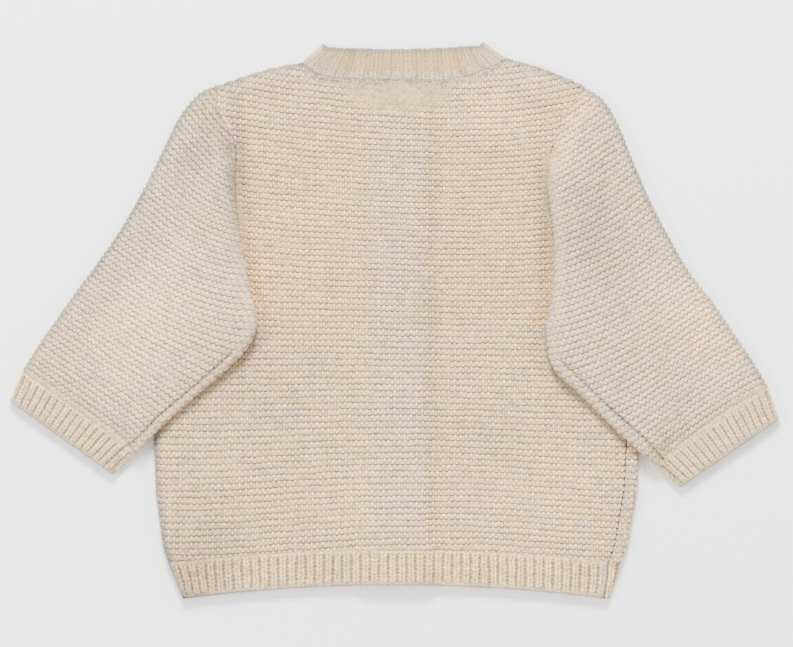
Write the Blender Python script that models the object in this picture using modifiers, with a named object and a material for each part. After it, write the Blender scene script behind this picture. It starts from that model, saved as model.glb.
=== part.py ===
"""Baby cardigan in garter stitch with ribbed edges, laid flat with its back up.

Frame: metres, +X to the right seen from above, +Y towards the neck, +Z up.
The origin is the middle of the footprint, on the surface that the garment lies on.
The front lies on the surface, the back lies on the front, and each sleeve is a
flattened tube whose inner edge lies over the body.
"""
import bmesh
import bpy
import numpy as np
from math import pi

OBJECT_NAME = "baby_cardigan"

# ---------------------------------------------------------------- driving dimensions
CLOTH = 0.0030              # thickness of the knitted wall
GAP = 0.0003                # clearance between pieces that are sewn together or lie on each other
NECK_GAP = 0.0005           # the same along the neckline, whose edge is made of short straight stretches
ARMHOLE_GAP = 0.0006        # the same along the armhole seams
LAYER = CLOTH + GAP         # rise from one layer of cloth to the next
TURN = CLOTH + GAP / 2      # outside radius where a flattened tube folds back
TURN_MIDDLE = LAYER / 2     # radius of the middle of the wall round that fold
RIM = 0.0012                # width of the soft edge of every piece
RIM_SHARE = 0.5             # share of the wall's thickness that is left at its very edge

RIB_HEIGHT = 0.0009         # how far a rib stands above the plain wall
HEM_RIBS = 48
CUFF_RIBS = 16
NECK_RIBS = 21
RIB_WAVE = (0.0, 1.0, 1.0)  # height at the three lines that make each rib

BAND_MIDDLE = 0.0033        # x of the middle of the button bands
BAND_HALF = 0.0150          # half the width of a button band
BAND_TOP = 0.1246           # y of the top of the button bands
RAMP_LINES = (0.0150, 0.0195, 0.0265, 0.0330)   # distances from the middle of the bands
RAMP_SHARE = (1.0, 0.80, 0.20, 0.0)             # share of a layer that cloth is raised there
NECK_FALL_LOW = 0.1300      # y where the back begins to sink towards the neck opening
NECK_FALL_HIGH = 0.1430     # y where it has sunk to the layer below

HEM_JOIN = -0.1455          # y of the seam between body and hem at the side edges
HEM_JOIN_RISE = 0.0080      # how much higher that seam is in the middle
HEM_SIDE = -0.1673          # y of the lower edge of the hem at the side edges
HEM_RISE = 0.0084           # how much higher the lower edge is in the middle
HEM_HALF_WIDTH = 0.1280

SHOULDER = 0.1407           # y of the shoulder at the armhole
ARMHOLE_LOW = 0.0960        # below this a sleeve lies on the body, not beside it
ARMHOLE_HIGH = 0.1230       # above this it is on the surface
UNDERARM = 0.0051
LIFT = 2 * LAYER            # height of a sleeve's underside where it lies on the body
LIFT_FLAT = 0.0060          # how far that height reaches past the body's edge
LIFT_END = 0.0170           # distance from the body's edge where the sleeve is down on the surface

WRAP_LOW = 0.0034           # width of the front's turned-up edge at the foot of the hem
WRAP_WIDE = 0.0082          # its width along the body
WRAP_START = UNDERARM + 0.0010   # above this the turned-up edge opens flat
WRAP_MIDDLE = UNDERARM + 0.0090  # a row between them
WRAP_END = UNDERARM + 0.0180     # here the front's edge is flat
FLUSH_LENGTH = 0.0120       # above that, length over which the back's edge comes out to the body's edge
BODY_WIDEST = -0.0700       # y above which the turned-up edge narrows
TURN_COLUMNS = 6            # lines round the turned-up edge
TURN_APPROACH = 0.0004      # distance from the last flat line to the start of the turn
FLAP_LEAST = 0.0004         # least straight length beyond the turn
FLAP_MARGIN = 0.2           # radians from flat, or from half a turn, within which the flap stays full

SHOULDER_ARCH = 0.0016      # how far the shoulder bows up between armhole and neck
SHOULDER_SHARES = np.array([0.0, 0.024, 0.34, 0.68])   # lines along the shoulder, the second for its rim
RIM_COLUMN = 0.011          # share of a half panel's width taken by its rim
BACK_NECK_COLUMNS = 4       # columns of the back that end on each half of the neckline
FRONT_NECK_COLUMNS = 7      # columns of a front that end on the neckline
HEM_FRONT_COLUMNS = 5       # columns of a front's hem outside the rise at the bands
CURVE_POINTS = 61           # points of a neckline's curve

SLEEVE_STATIONS = 17        # rings along a sleeve, without its rims
SLEEVE_LENGTH = 0.20
SLEEVE_LINES = 13           # lines across each side of a flattened sleeve
CUFF_LINES = 9              # lines across the underside of a cuff
FOLD_LINES = 3              # lines round each fold of a sleeve or cuff
ARMHOLE_SHARE = 0.10        # share of a sleeve's length over which its end follows the armhole
NECK_FRONT_LENGTH = 0.06    # length of the neckband from shoulder to button band
NECK_FRONT_STEPS = 10
NECK_FOLD_LINES = 4         # lines where the neckband turns over each shoulder
BAND_STEPS = 6              # rows along a button band

BUTTON_COUNT = 5
BUTTON_RADIUS = 0.0070
BUTTON_THICK = 0.0015
BUTTON_FLOOR_GAP = 0.0002
BUTTON_HOLE_RADIUS = 0.0009
BUTTON_HOLE_OFFSET = 0.0018
BUTTON_END_MARGIN = 0.0100  # from the ends of the band to the first and last button
BUTTON_BEVEL = 0.0004
BUTTON_SIDES = 20
POCKET_SIDES = 24
HOLE_SIDES = 6
POCKET_DEPTH = BUTTON_FLOOR_GAP + BUTTON_THICK + GAP

LEFT, RIGHT = 0, 1
SIDE_NAME = ("left", "right")
OUTWARD = (-1.0, 1.0)

# side edges of the body, from hem to shoulder: y, x of left edge, x of right edge
BODY_EDGE = np.array([
    (-0.1673, -0.1269, 0.1293),    # foot of the hem
    (-0.1557, -0.1317, 0.1335),
    (-0.1455, -0.1359, 0.1365),    # seam of the hem
    (-0.1347, -0.1392, 0.1404),
    (-0.1017, -0.1434, 0.1461),
    (-0.0700, -0.1443, 0.1476),    # widest
    (-0.0357, -0.1422, 0.1461),
    (0.0051, -0.1371, 0.1413),     # underarm
    (0.0213, -0.1233, 0.1275),
    (0.0351, -0.1149, 0.1179),
    (0.0621, -0.1035, 0.1041),
    (0.0891, -0.0969, 0.0954),
    (0.1011, -0.0951, 0.0939),     # narrowest across the armholes
    (0.1101, -0.0969, 0.0972),
    (0.1203, -0.1029, 0.0996),
    (0.1293, -0.1062, 0.1065),
    (0.1407, -0.1065, 0.1143),     # shoulder
])

# sections of each sleeve from shoulder to wrist: x, y of its outer edge, x, y of its inner edge
SLEEVE = (np.array([
    (-0.1065, 0.1416, -0.0951, 0.1023),    # armhole seam
    (-0.1173, 0.1365, -0.0951, 0.0807),
    (-0.1287, 0.1233, -0.0933, 0.0591),
    (-0.1389, 0.1029, -0.0897, 0.0375),
    (-0.1503, 0.0801, -0.0855, 0.0165),
    (-0.1623, 0.0585, -0.0825, -0.0039),   # corner of the fold over the body
    (-0.1755, 0.0387, -0.0897, -0.0189),
    (-0.1881, 0.0219, -0.1047, -0.0333),
    (-0.2001, 0.0051, -0.1215, -0.0477),
    (-0.2115, -0.0111, -0.1377, -0.0621),
    (-0.2235, -0.0303, -0.1545, -0.0795),  # seam of the cuff
]), np.array([
    (0.1143, 0.1401, 0.0939, 0.1011),
    (0.1245, 0.1335, 0.0915, 0.0819),
    (0.1335, 0.1197, 0.0939, 0.0597),
    (0.1425, 0.0981, 0.0957, 0.0375),
    (0.1527, 0.0741, 0.0945, 0.0159),
    (0.1647, 0.0507, 0.0909, -0.0057),
    (0.1773, 0.0291, 0.0945, -0.0279),
    (0.1917, 0.0105, 0.1101, -0.0435),
    (0.2043, -0.0081, 0.1257, -0.0591),
    (0.2145, -0.0231, 0.1407, -0.0735),
    (0.2241, -0.0393, 0.1563, -0.0873),
]))
# the mouth of each cuff, in the same columns
CUFF_MOUTH = ((-0.2313, -0.0483, -0.1689, -0.0927), (0.2313, -0.0591, 0.1713, -0.1005))

# sections of the neckband: x, y of its seam with the body, x, y of its free edge
NECK_BACK = np.array([
    (-0.0528, 0.1530, -0.0402, 0.1642),    # left shoulder
    (-0.0435, 0.1477, -0.0339, 0.1637),
    (-0.0297, 0.1458, -0.0243, 0.1635),
    (0.0045, 0.1453, 0.0045, 0.1630),      # middle of the back
    (0.0363, 0.1457, 0.0333, 0.1639),
    (0.0525, 0.1505, 0.0435, 0.1648),
    (0.0639, 0.1555, 0.0507, 0.1649),      # right shoulder
])
NECK_FRONT = (np.array([
    (-0.0528, 0.1530, -0.0402, 0.1642),
    (-0.0522, 0.1413, -0.0381, 0.1503),
    (-0.0453, 0.1263, -0.0327, 0.1377),
    (-0.0309, 0.1143, -0.0231, 0.1287),
    (-0.0120, 0.1083, -0.0120, 0.1248),    # edge of the left band
]), np.array([
    (0.0639, 0.1555, 0.0507, 0.1649),
    (0.0639, 0.1425, 0.0489, 0.1509),
    (0.0573, 0.1275, 0.0435, 0.1383),
    (0.0417, 0.1143, 0.0333, 0.1287),
    (0.0186, 0.1077, 0.0186, 0.1245),      # edge of the right band
]))

CREAM = (0.66, 0.57, 0.47)
CREAM_RIB = (0.63, 0.54, 0.44)
BUTTON_COLOUR = (0.70, 0.62, 0.50)
CLOTH_ROUGHNESS = 0.95
BUTTON_ROUGHNESS = 0.35


# ---------------------------------------------------------------- curves and levels
def smooth_rows(table, shares):
    """Rows of a table read at shares of its length, along a smooth curve through them."""
    steps = np.linalg.norm(np.diff(table, axis=0), axis=1)
    knots = np.concatenate(([0.0], np.cumsum(steps))) / steps.sum()
    slopes = np.gradient(table, knots, axis=0)
    shares = np.atleast_1d(shares)
    left = np.clip(np.searchsorted(knots, shares, side="right") - 1, 0, len(knots) - 2)
    span = (knots[left + 1] - knots[left])[:, None]
    t = ((shares - knots[left]) / span[:, 0])[:, None]
    return ((2 * t**3 - 3 * t**2 + 1) * table[left] + (t**3 - 2 * t**2 + t) * span * slopes[left]
            + (3 * t**2 - 2 * t**3) * table[left + 1] + (t**3 - t**2) * span * slopes[left + 1])


def ease(t):
    """A step from 0 to 1 with soft ends."""
    t = np.clip(t, 0.0, 1.0)
    return t * t * (3 - 2 * t)


def body_edge(y, side):
    """x of the body's side edge at height y."""
    return np.interp(y, BODY_EDGE[:, 0], BODY_EDGE[:, 1 + side])


def placket_rise(x):
    """How far cloth is raised near the middle, where one button band lies on the other."""
    return LAYER * np.interp(np.abs(x - BAND_MIDDLE), RAMP_LINES, RAMP_SHARE)


def back_level(x, y):
    """Height of the back's underside."""
    fall = 1 - ease((y - NECK_FALL_LOW) / (NECK_FALL_HIGH - NECK_FALL_LOW))
    return LAYER + placket_rise(x) * fall


def front_level(x, side):
    """Height of a front's underside: the left front rises onto the right button band."""
    if side == LEFT:
        return placket_rise(x)
    return np.zeros_like(x)


def sleeve_level(x, y, side):
    """Height of a sleeve's underside: on the body, sloping down beside it, then on the surface."""
    outside = (x - body_edge(y, side)) * OUTWARD[side]
    near = 1 - ease((outside - LIFT_FLAT) / (LIFT_END - LIFT_FLAT))
    lifted = 1 - ease((y - ARMHOLE_LOW) / (ARMHOLE_HIGH - ARMHOLE_LOW))
    return LIFT * near * lifted


def hem_foot(x):
    """y of the hem's lower edge, which rises to the middle."""
    return HEM_SIDE + HEM_RISE * (1 - np.minimum(np.abs(x) / HEM_HALF_WIDTH, 1.0) ** 2)


def hem_seam(x):
    """y of the seam between hem and body."""
    return HEM_JOIN + HEM_JOIN_RISE * (1 - np.minimum(np.abs(x) / BODY_EDGE[2, 2], 1.0) ** 2)


# ---------------------------------------------------------------- walls of cloth
def with_rims(values, length):
    """Shares along a piece with one more line just inside each end, for its soft rim."""
    inset = RIM / length
    inner = [v for v in values[1:-1] if 1.5 * inset < v < 1 - 1.5 * inset]
    return np.array([0.0, inset, *inner, 1 - inset, 1.0])


def zip_edges(mesh, one, other):
    """Fill the strip between two rows of vertices that may differ in number."""
    def shares(row):
        steps = [(a.co - b.co).length for a, b in zip(row, row[1:])]
        return np.concatenate(([0.0], np.cumsum(steps))) / sum(steps)
    share_one, share_other = shares(one), shares(other)
    i = j = 0
    while i < len(one) - 1 or j < len(other) - 1:
        forward_one = j == len(other) - 1 or (i < len(one) - 1 and share_one[i + 1] <= share_other[j + 1])
        if forward_one:
            mesh.faces.new((one[i], one[i + 1], other[j]))
            i += 1
        else:
            mesh.faces.new((one[i], other[j + 1], other[j]))
            j += 1


def add_grid(mesh, points, closed):
    """A sheet of quads through rows of points; closed rows come back to their start."""
    rows = [[mesh.verts.new(p) for p in row] for row in points]
    if closed:
        rows = [row + [row[0]] for row in rows]
    for low, high in zip(rows, rows[1:]):
        for k in range(len(low) - 1):
            mesh.faces.new((low[k], low[k + 1], high[k + 1], high[k]))
    return rows


def make_wall(name, colour, middle, outward, relief=None, plain_rows=None, plain_columns=None,
              closed=False):
    """A wall of cloth round its middle surface, raised outside by relief and plain inside.

    The plain side may use only some rows and columns of the middle surface.
    """
    row_count, column_count = middle.shape[:2]
    plain_rows = np.arange(row_count) if plain_rows is None else np.array(plain_rows)
    plain_columns = np.arange(column_count) if plain_columns is None else np.array(plain_columns)
    share = np.ones((row_count, column_count))
    share[0] = share[-1] = RIM_SHARE
    if not closed:
        share[:, 0] = share[:, -1] = RIM_SHARE
    reach = share * CLOTH / 2
    outer_reach = reach if relief is None else reach + relief * (share == 1.0)
    outer = middle + outward * outer_reach[..., None]
    plain = (middle - outward * reach[..., None])[plain_rows][:, plain_columns]
    mesh = bmesh.new()
    outer_rows = add_grid(mesh, outer, closed)
    plain_grid = add_grid(mesh, plain, closed)
    zip_edges(mesh, outer_rows[0], plain_grid[0])
    zip_edges(mesh, outer_rows[-1], plain_grid[-1])
    if not closed:
        zip_edges(mesh, [row[0] for row in outer_rows], [row[0] for row in plain_grid])
        zip_edges(mesh, [row[-1] for row in outer_rows], [row[-1] for row in plain_grid])
    bmesh.ops.recalc_face_normals(mesh, faces=mesh.faces)
    data = bpy.data.meshes.new(name)
    mesh.to_mesh(data)
    mesh.free()
    piece = bpy.data.objects.new(name, data)
    finish(piece, colour, CLOTH_ROUGHNESS)
    return piece


def finish(piece, colour, roughness):
    """Put a piece in the object's collection with a material of its own."""
    if piece.name not in PARTS.objects:
        for collection in piece.users_collection:
            collection.objects.unlink(piece)
        PARTS.objects.link(piece)
    material = bpy.data.materials.new(piece.name + "_material")
    material.use_nodes = True
    shader = material.node_tree.nodes["Principled BSDF"]
    shader.inputs["Base Color"].default_value = (*colour, 1.0)
    shader.inputs["Roughness"].default_value = roughness
    shader.inputs["Metallic"].default_value = 0.0
    piece.data.materials.clear()
    piece.data.materials.append(material)
    piece.data.shade_smooth()
    piece.data.set_sharp_from_angle(angle=pi / 3)


def flat_middle(x, y, level):
    """Middle surface and outward direction of a wall that lies flat at a given height."""
    middle = np.stack([x, y, level + CLOTH / 2], axis=-1)
    outward = np.zeros_like(middle)
    outward[..., 2] = 1.0
    return middle, outward


# ---------------------------------------------------------------- plan of the body panels
def panel_rows():
    """Heights of the panel's rows at its side edges, from the hem's seam to the shoulder."""
    heights = BODY_EDGE[2:, 0].copy()
    heights[0] += GAP / 2
    wrap_rows = (WRAP_MIDDLE, WRAP_END)
    return np.unique(np.concatenate([heights, wrap_rows, (heights[0] + RIM, heights[-1] - RIM)]))


def row_heights(heights, x):
    """y of the panel's rows at columns x: the lowest rows follow the seam of the hem."""
    low = 1 - ease((heights - heights[0]) / (UNDERARM - heights[0]))
    return heights[:, None] + low[:, None] * (hem_seam(x[0]) + GAP / 2 - heights[0])


def fill_panel(heights, edges, tops):
    """Plan of a panel: columns between two edges, drawn up to the given top points.

    edges holds the x of every column at every height; tops holds each column's top point.
    The columns lean towards their top points over the upper part of the panel, and those
    inside the shoulders don't follow the armholes.
    """
    high = ease((heights - UNDERARM) / (heights[-1] - UNDERARM))[:, None]
    shoulder = [abs(neck_corner(side)[0] - body_edge(SHOULDER, side)) for side in (LEFT, RIGHT)]
    from_left = (tops[:, 0] - body_edge(SHOULDER, LEFT)) / shoulder[LEFT]
    from_right = (body_edge(SHOULDER, RIGHT) - tops[:, 0]) / shoulder[RIGHT]
    upright = np.clip(np.minimum(from_left, from_right), 0, 1)
    base = edges + upright * high * (edges[-1] - edges)
    x = base + high * (tops[:, 0] - edges[-1])
    y = row_heights(heights, edges) + high * (tops[:, 1] - heights[-1])
    return x, y


def neck_frame(row, side):
    """Directions across the neckband and away from it, over the shoulder, at one of its ends."""
    across = (row[2:] - row[:2]) / np.linalg.norm(row[2:] - row[:2])
    away = np.array([-across[1], across[0]]) * -OUTWARD[side]
    return across, away


def neck_corner(side):
    """The point where a shoulder meets the fold of the neckband."""
    row = NECK_BACK[0 if side == LEFT else -1]
    across, away = neck_frame(row, side)
    return row[:2] + away * TURN - across * NECK_GAP


def shoulder_line(side, shares):
    """Points of the shoulder from the armhole (0) to the neck (1), slightly arched."""
    edge = np.array([body_edge(SHOULDER, side), SHOULDER])
    corner = neck_corner(side)
    points = edge + shares[:, None] * (corner - edge)
    points[:, 1] += SHOULDER_ARCH * np.sin(pi * shares)
    return points


def neck_heights(curve, x, side):
    """y of a neckline at given x, for columns that keep their x all the way up."""
    order = -OUTWARD[side] * curve[:, 0]
    half = len(curve) // 2
    return np.interp(-OUTWARD[side] * x, order[half:], curve[half:, 1])


def side_tops(side, curve, shoulder_shares, neck_count, end):
    """Top points of the columns from the side edge along shoulder and neckline to x = end."""
    reach = -OUTWARD[side] * curve[:, 0]
    stop = np.interp(-OUTWARD[side] * end, reach[1:], np.linspace(0, 1, len(curve))[1:])
    places = np.linspace(0, stop, neck_count + 1)[:-1] * (len(curve) - 1)
    neck = np.stack([np.interp(places, np.arange(len(curve)), curve[:, k]) for k in (0, 1)], axis=1)
    last = np.array([[end, neck_heights(curve, end, side)]])
    return np.concatenate([shoulder_line(side, shoulder_shares), [neck_corner(side)], neck, last])


def side_columns(edge, count, end, with_rim=True):
    """x of columns from the side edge to a fixed line, with a rim line just inside the edge."""
    shares = np.linspace(0, 1, count - with_rim)
    if with_rim:
        shares = np.insert(shares, 1, RIM_COLUMN)
    return edge[:, None] + (end - edge)[:, None] * shares


def make_back():
    heights = panel_rows()
    ramp = np.array(RAMP_LINES)
    fixed = BAND_MIDDLE + np.concatenate([-ramp[::-1], [0.0], ramp])
    side_count = len(SHOULDER_SHARES) + BACK_NECK_COLUMNS + 2
    left = side_columns(body_edge(heights, LEFT), side_count, fixed[0])
    right = side_columns(right_seam(heights), side_count, fixed[-1])
    middle_columns = np.repeat(fixed[None, 1:-1], len(heights), axis=0)
    edges = np.concatenate([left, middle_columns, right[:, ::-1]], axis=1)
    curve = smooth_rows(NECK_BACK, np.linspace(0, 1, CURVE_POINTS))[:, :2] - (0.0, NECK_GAP)
    half = CURVE_POINTS // 2
    middle_tops = np.stack([fixed[1:-1], np.interp(fixed[1:-1], curve[:, 0], curve[:, 1])], axis=1)
    tops = np.concatenate([
        side_tops(LEFT, curve[:half + 1], SHOULDER_SHARES, BACK_NECK_COLUMNS, fixed[0]),
        middle_tops,
        side_tops(RIGHT, curve[:half - 1:-1], SHOULDER_SHARES, BACK_NECK_COLUMNS, fixed[-1])[::-1],
    ])
    x, y = fill_panel(heights, edges, tops)
    middle, outward = flat_middle(x, y, back_level(x, y))
    return make_wall("back", CREAM, middle, outward)


def wrap_angle(y):
    """How far the right front's edge is turned up: half a turn up to the underarm, then less."""
    return pi * (1 - ease((y - WRAP_START) / (WRAP_END - WRAP_START)))


def wrap_width(y):
    """Width of the turned-up edge, seen from above, measured from the body's edge."""
    heights = (HEM_SIDE, HEM_JOIN, BODY_WIDEST, UNDERARM)
    return np.interp(y, heights, (WRAP_LOW, WRAP_WIDE, WRAP_WIDE, WRAP_LOW))


def right_seam(y):
    """x of the back's right edge: at the side seam, or at the edge where nothing is turned up."""
    beside = body_edge(y, RIGHT) - wrap_width(y) - GAP
    flush = body_edge(y, RIGHT)
    open_flat = ease((y - WRAP_END) / FLUSH_LENGTH)
    return beside + (flush - beside) * open_flat


def turned_edge(y_rows, side_x, count):
    """Middle points (x, z) and outward directions of the right front's turned-up edge."""
    angle = wrap_angle(y_rows)[:, None]
    folded = ease(angle / pi)
    flap = folded * np.maximum(wrap_width(y_rows)[:, None] - TURN, 0.0) + (1 - folded) * TURN
    opening = (angle > FLAP_MARGIN) & (angle < pi - FLAP_MARGIN)
    flap = np.maximum(np.where(opening, 0.0, flap), FLAP_LEAST)
    along = np.linspace(0, 1, count)[None, :] * (TURN_MIDDLE * angle + flap)
    turned = np.minimum(along / TURN_MIDDLE, angle)
    straight = along - TURN_MIDDLE * turned
    start = side_x[:, None] - TURN
    x = start + TURN_MIDDLE * np.sin(turned) + straight * np.cos(angle)
    z = TURN - TURN_MIDDLE * np.cos(turned) + straight * np.sin(angle)
    return x, z, np.sin(turned), -np.cos(turned)


def add_turned_edge(middle, outward, heights, to_plan):
    """Put the turned-up columns before the first column of a right front piece."""
    x, z, out_x, out_z = turned_edge(heights, body_edge(heights, RIGHT), TURN_COLUMNS)
    x, y = to_plan(x)
    turned = np.stack([x, y, z], axis=-1)[:, ::-1]
    directions = np.stack([out_x, np.zeros_like(out_x), out_z], axis=-1)[:, ::-1]
    return np.concatenate([turned, middle], axis=1), np.concatenate([directions, outward], axis=1)


def front_columns(heights, side, side_count):
    """x of a front's columns from the side edge to the button band, at every height."""
    ramp = BAND_MIDDLE + OUTWARD[side] * np.array(RAMP_LINES[::-1])
    band_edge = ramp[-1] + OUTWARD[side] * GAP
    edge = body_edge(heights, side)
    if side == RIGHT:
        edge = edge - TURN - TURN_APPROACH
    columns = side_columns(edge, side_count, ramp[0], with_rim=side == LEFT)
    fixed = np.array([*ramp[1:-1], band_edge + OUTWARD[side] * RIM, band_edge])
    fixed_columns = np.repeat(fixed[None, :], len(heights), axis=0)
    return np.concatenate([columns, fixed_columns], axis=1), ramp[0], fixed


def make_front(side):
    heights = panel_rows()
    shoulder_shares = SHOULDER_SHARES if side == LEFT else np.delete(SHOULDER_SHARES, 1)
    side_count = len(shoulder_shares) + FRONT_NECK_COLUMNS + 2
    columns, ramp_start, fixed = front_columns(heights, side, side_count)
    curve = smooth_rows(NECK_FRONT[side], np.linspace(0, 1, CURVE_POINTS))[:, :2]
    curve = curve + (OUTWARD[side] * NECK_GAP, -NECK_GAP)
    tops = side_tops(side, curve, shoulder_shares, FRONT_NECK_COLUMNS, ramp_start)
    fixed_tops = np.stack([fixed, neck_heights(curve, fixed, side)], axis=1)
    tops = np.concatenate([tops, fixed_tops])
    if side == RIGHT:
        tops[0, 0] -= TURN + TURN_APPROACH
    x, y = fill_panel(heights, columns, tops)
    middle, outward = flat_middle(x, y, front_level(x, side))
    outward[..., 2] = -1.0
    if side == RIGHT:
        middle, outward = add_turned_edge(middle, outward, heights,
                                          lambda turn_x: (turn_x, row_heights(heights, turn_x)))
    return make_wall("front_" + SIDE_NAME[side], CREAM, middle, outward)


# ---------------------------------------------------------------- hem
def hem_plan(shares, edges):
    """Plan of a strip of hem: x from the columns' edges, y between foot and seam."""
    x = edges
    foot, seam = hem_foot(x), hem_seam(x) - GAP / 2
    return x, foot + (seam - foot) * shares[:, None]


def hem_rows():
    shares = with_rims(np.array([0.0, 1.0]), HEM_JOIN - HEM_SIDE)
    return shares, HEM_SIDE + (HEM_JOIN - HEM_SIDE) * shares


def make_hem_back():
    shares, heights = hem_rows()
    lines = HEM_RIBS * len(RIB_WAVE)
    across = with_rims(np.arange(lines + 1) / lines, 2 * HEM_HALF_WIDTH)
    left, right = body_edge(heights, LEFT), right_seam(heights)
    edges = left[:, None] + (right - left)[:, None] * across
    x, y = hem_plan(shares, edges)
    middle, outward = flat_middle(x, y, back_level(x, y))
    relief = RIB_HEIGHT * np.array([RIB_WAVE[k % len(RIB_WAVE)] for k in range(len(across))])
    plain = [0, 1, *range(4, len(across) - 4, len(RIB_WAVE)), len(across) - 2, len(across) - 1]
    return make_wall("hem_back", CREAM_RIB, middle, outward, relief=np.tile(relief, (len(shares), 1)),
                     plain_columns=plain)


def make_hem_front(side):
    shares, heights = hem_rows()
    columns, _, _ = front_columns(heights, side, HEM_FRONT_COLUMNS)
    x, y = hem_plan(shares, columns)
    middle, outward = flat_middle(x, y, front_level(x, side))
    outward[..., 2] = -1.0
    if side == RIGHT:
        middle, outward = add_turned_edge(middle, outward, heights, lambda turn_x: hem_plan(shares, turn_x))
    return make_wall("hem_front_" + SIDE_NAME[side], CREAM_RIB, middle, outward)


# ---------------------------------------------------------------- sleeves and cuffs
def tube_columns(top_count, bottom_count):
    """Round a flattened tube: kind of wall, distance from the outer edge and turn angle."""
    rows = []
    for share in np.linspace(0, 1, bottom_count):
        rows.append(("bottom", share, 0.0))
    for k in range(1, FOLD_LINES + 1):
        rows.append(("inner", 1.0, pi * (k / (FOLD_LINES + 1) - 0.5)))
    for share in np.linspace(1, 0, top_count):
        rows.append(("top", share, 0.0))
    for k in range(1, FOLD_LINES + 1):
        rows.append(("outer", 0.0, pi * (0.5 - k / (FOLD_LINES + 1))))
    return rows


def tube_wall(rings, side, columns, fade):
    """Middle surface of a flattened tube whose rings go from outer to inner edge.

    fade says how far each ring follows the armhole seam of the body instead of a straight line.
    """
    middle = np.zeros((len(rings), len(columns), 3))
    outward = np.zeros_like(middle)
    for r, ring in enumerate(rings):
        outer, inner = ring[:2], ring[2:]
        width = np.linalg.norm(inner - outer)
        across = (inner - outer) / width
        for c, (kind, share, angle) in enumerate(columns):
            distance = TURN + (width - 2 * TURN) * share
            bulge = TURN_MIDDLE * np.cos(angle) * {"inner": 1.0, "outer": -1.0}.get(kind, 0.0)
            plan = outer + across * (distance + bulge)
            seam_x = body_edge(plan[1], side) + OUTWARD[side] * ARMHOLE_GAP
            plan[0] += fade[r] * (seam_x - (outer + across * distance)[0])
            level = float(sleeve_level(plan[0], plan[1], side))
            height = {"bottom": CLOTH / 2, "top": CLOTH / 2 + LAYER}.get(kind)
            if height is None:
                height = TURN + TURN_MIDDLE * np.sin(angle)
                sign = 1.0 if kind == "inner" else -1.0
                outward[r, c] = (*(across * np.cos(angle) * sign), np.sin(angle))
            else:
                outward[r, c, 2] = 1.0 if kind == "top" else -1.0
            middle[r, c] = (plan[0], plan[1], level + height)
    return middle, outward


def make_sleeve(side):
    shares = with_rims(np.linspace(0, 1, SLEEVE_STATIONS), SLEEVE_LENGTH)
    rings = smooth_rows(SLEEVE[side], shares)
    columns = tube_columns(SLEEVE_LINES, SLEEVE_LINES)
    fade = np.clip(1 - shares / ARMHOLE_SHARE, 0, 1)
    middle, outward = tube_wall(rings, side, columns, fade)
    first_top = SLEEVE_LINES + FOLD_LINES
    plain = [*range(0, SLEEVE_LINES, 2), *range(first_top, first_top + SLEEVE_LINES, 2)]
    return make_wall("sleeve_" + SIDE_NAME[side], CREAM, middle, outward, plain_columns=plain, closed=True)


def make_cuff(side):
    start, mouth = SLEEVE[side][-1], np.array(CUFF_MOUTH[side])
    length = np.linalg.norm((mouth - start)[:2])
    shares = with_rims(np.array([0.0, 0.5, 1.0]), length)
    shares = GAP / length + shares * (1 - GAP / length)
    rings = start + (mouth - start) * shares[:, None]
    top_count = CUFF_RIBS * len(RIB_WAVE) + 1
    columns = tube_columns(top_count, CUFF_LINES)
    middle, outward = tube_wall(rings, side, columns, np.zeros(len(rings)))
    first_top = CUFF_LINES + FOLD_LINES
    relief = np.zeros(len(columns))
    for k in range(1, top_count - 1):
        relief[first_top + k] = RIB_HEIGHT * RIB_WAVE[k % len(RIB_WAVE)]
    last_top = first_top + top_count - 1
    plain = [*range(0, CUFF_LINES), *range(first_top, last_top + 1, 2 * len(RIB_WAVE))]
    return make_wall("cuff_" + SIDE_NAME[side], CREAM_RIB, middle, outward,
                     relief=np.tile(relief, (len(rings), 1)), plain_columns=plain, closed=True)


# ---------------------------------------------------------------- neckband
def neck_section(row, level, up):
    """One section across the neckband: five points from its seam to its free edge."""
    join, free = row[:2], row[2:]
    across = (free - join) / np.linalg.norm(free - join)
    start = join + across * GAP
    length = np.linalg.norm(free - start)
    shares = with_rims(np.array([0.0, 0.5, 1.0]), length)
    plan = start + across * length * shares[:, None]
    points = np.concatenate([plan, np.full((len(shares), 1), level + CLOTH / 2)], axis=1)
    directions = np.tile((0.0, 0.0, up), (len(shares), 1))
    return points, directions


def neck_fold(row, outer_side):
    """The sections where the neckband turns from front to back over the shoulder."""
    across, away = neck_frame(row, outer_side)
    sections = []
    for angle in np.linspace(-pi / 2, pi / 2, NECK_FOLD_LINES + 2)[1:-1]:
        points, directions = neck_section(row, 0.0, 1.0)
        points[:, :2] += away * TURN_MIDDLE * np.cos(angle)
        points[:, 2] = TURN + TURN_MIDDLE * np.sin(angle)
        directions[:] = (*(away * np.cos(angle)), np.sin(angle))
        sections.append((points, directions))
    return sections


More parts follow.
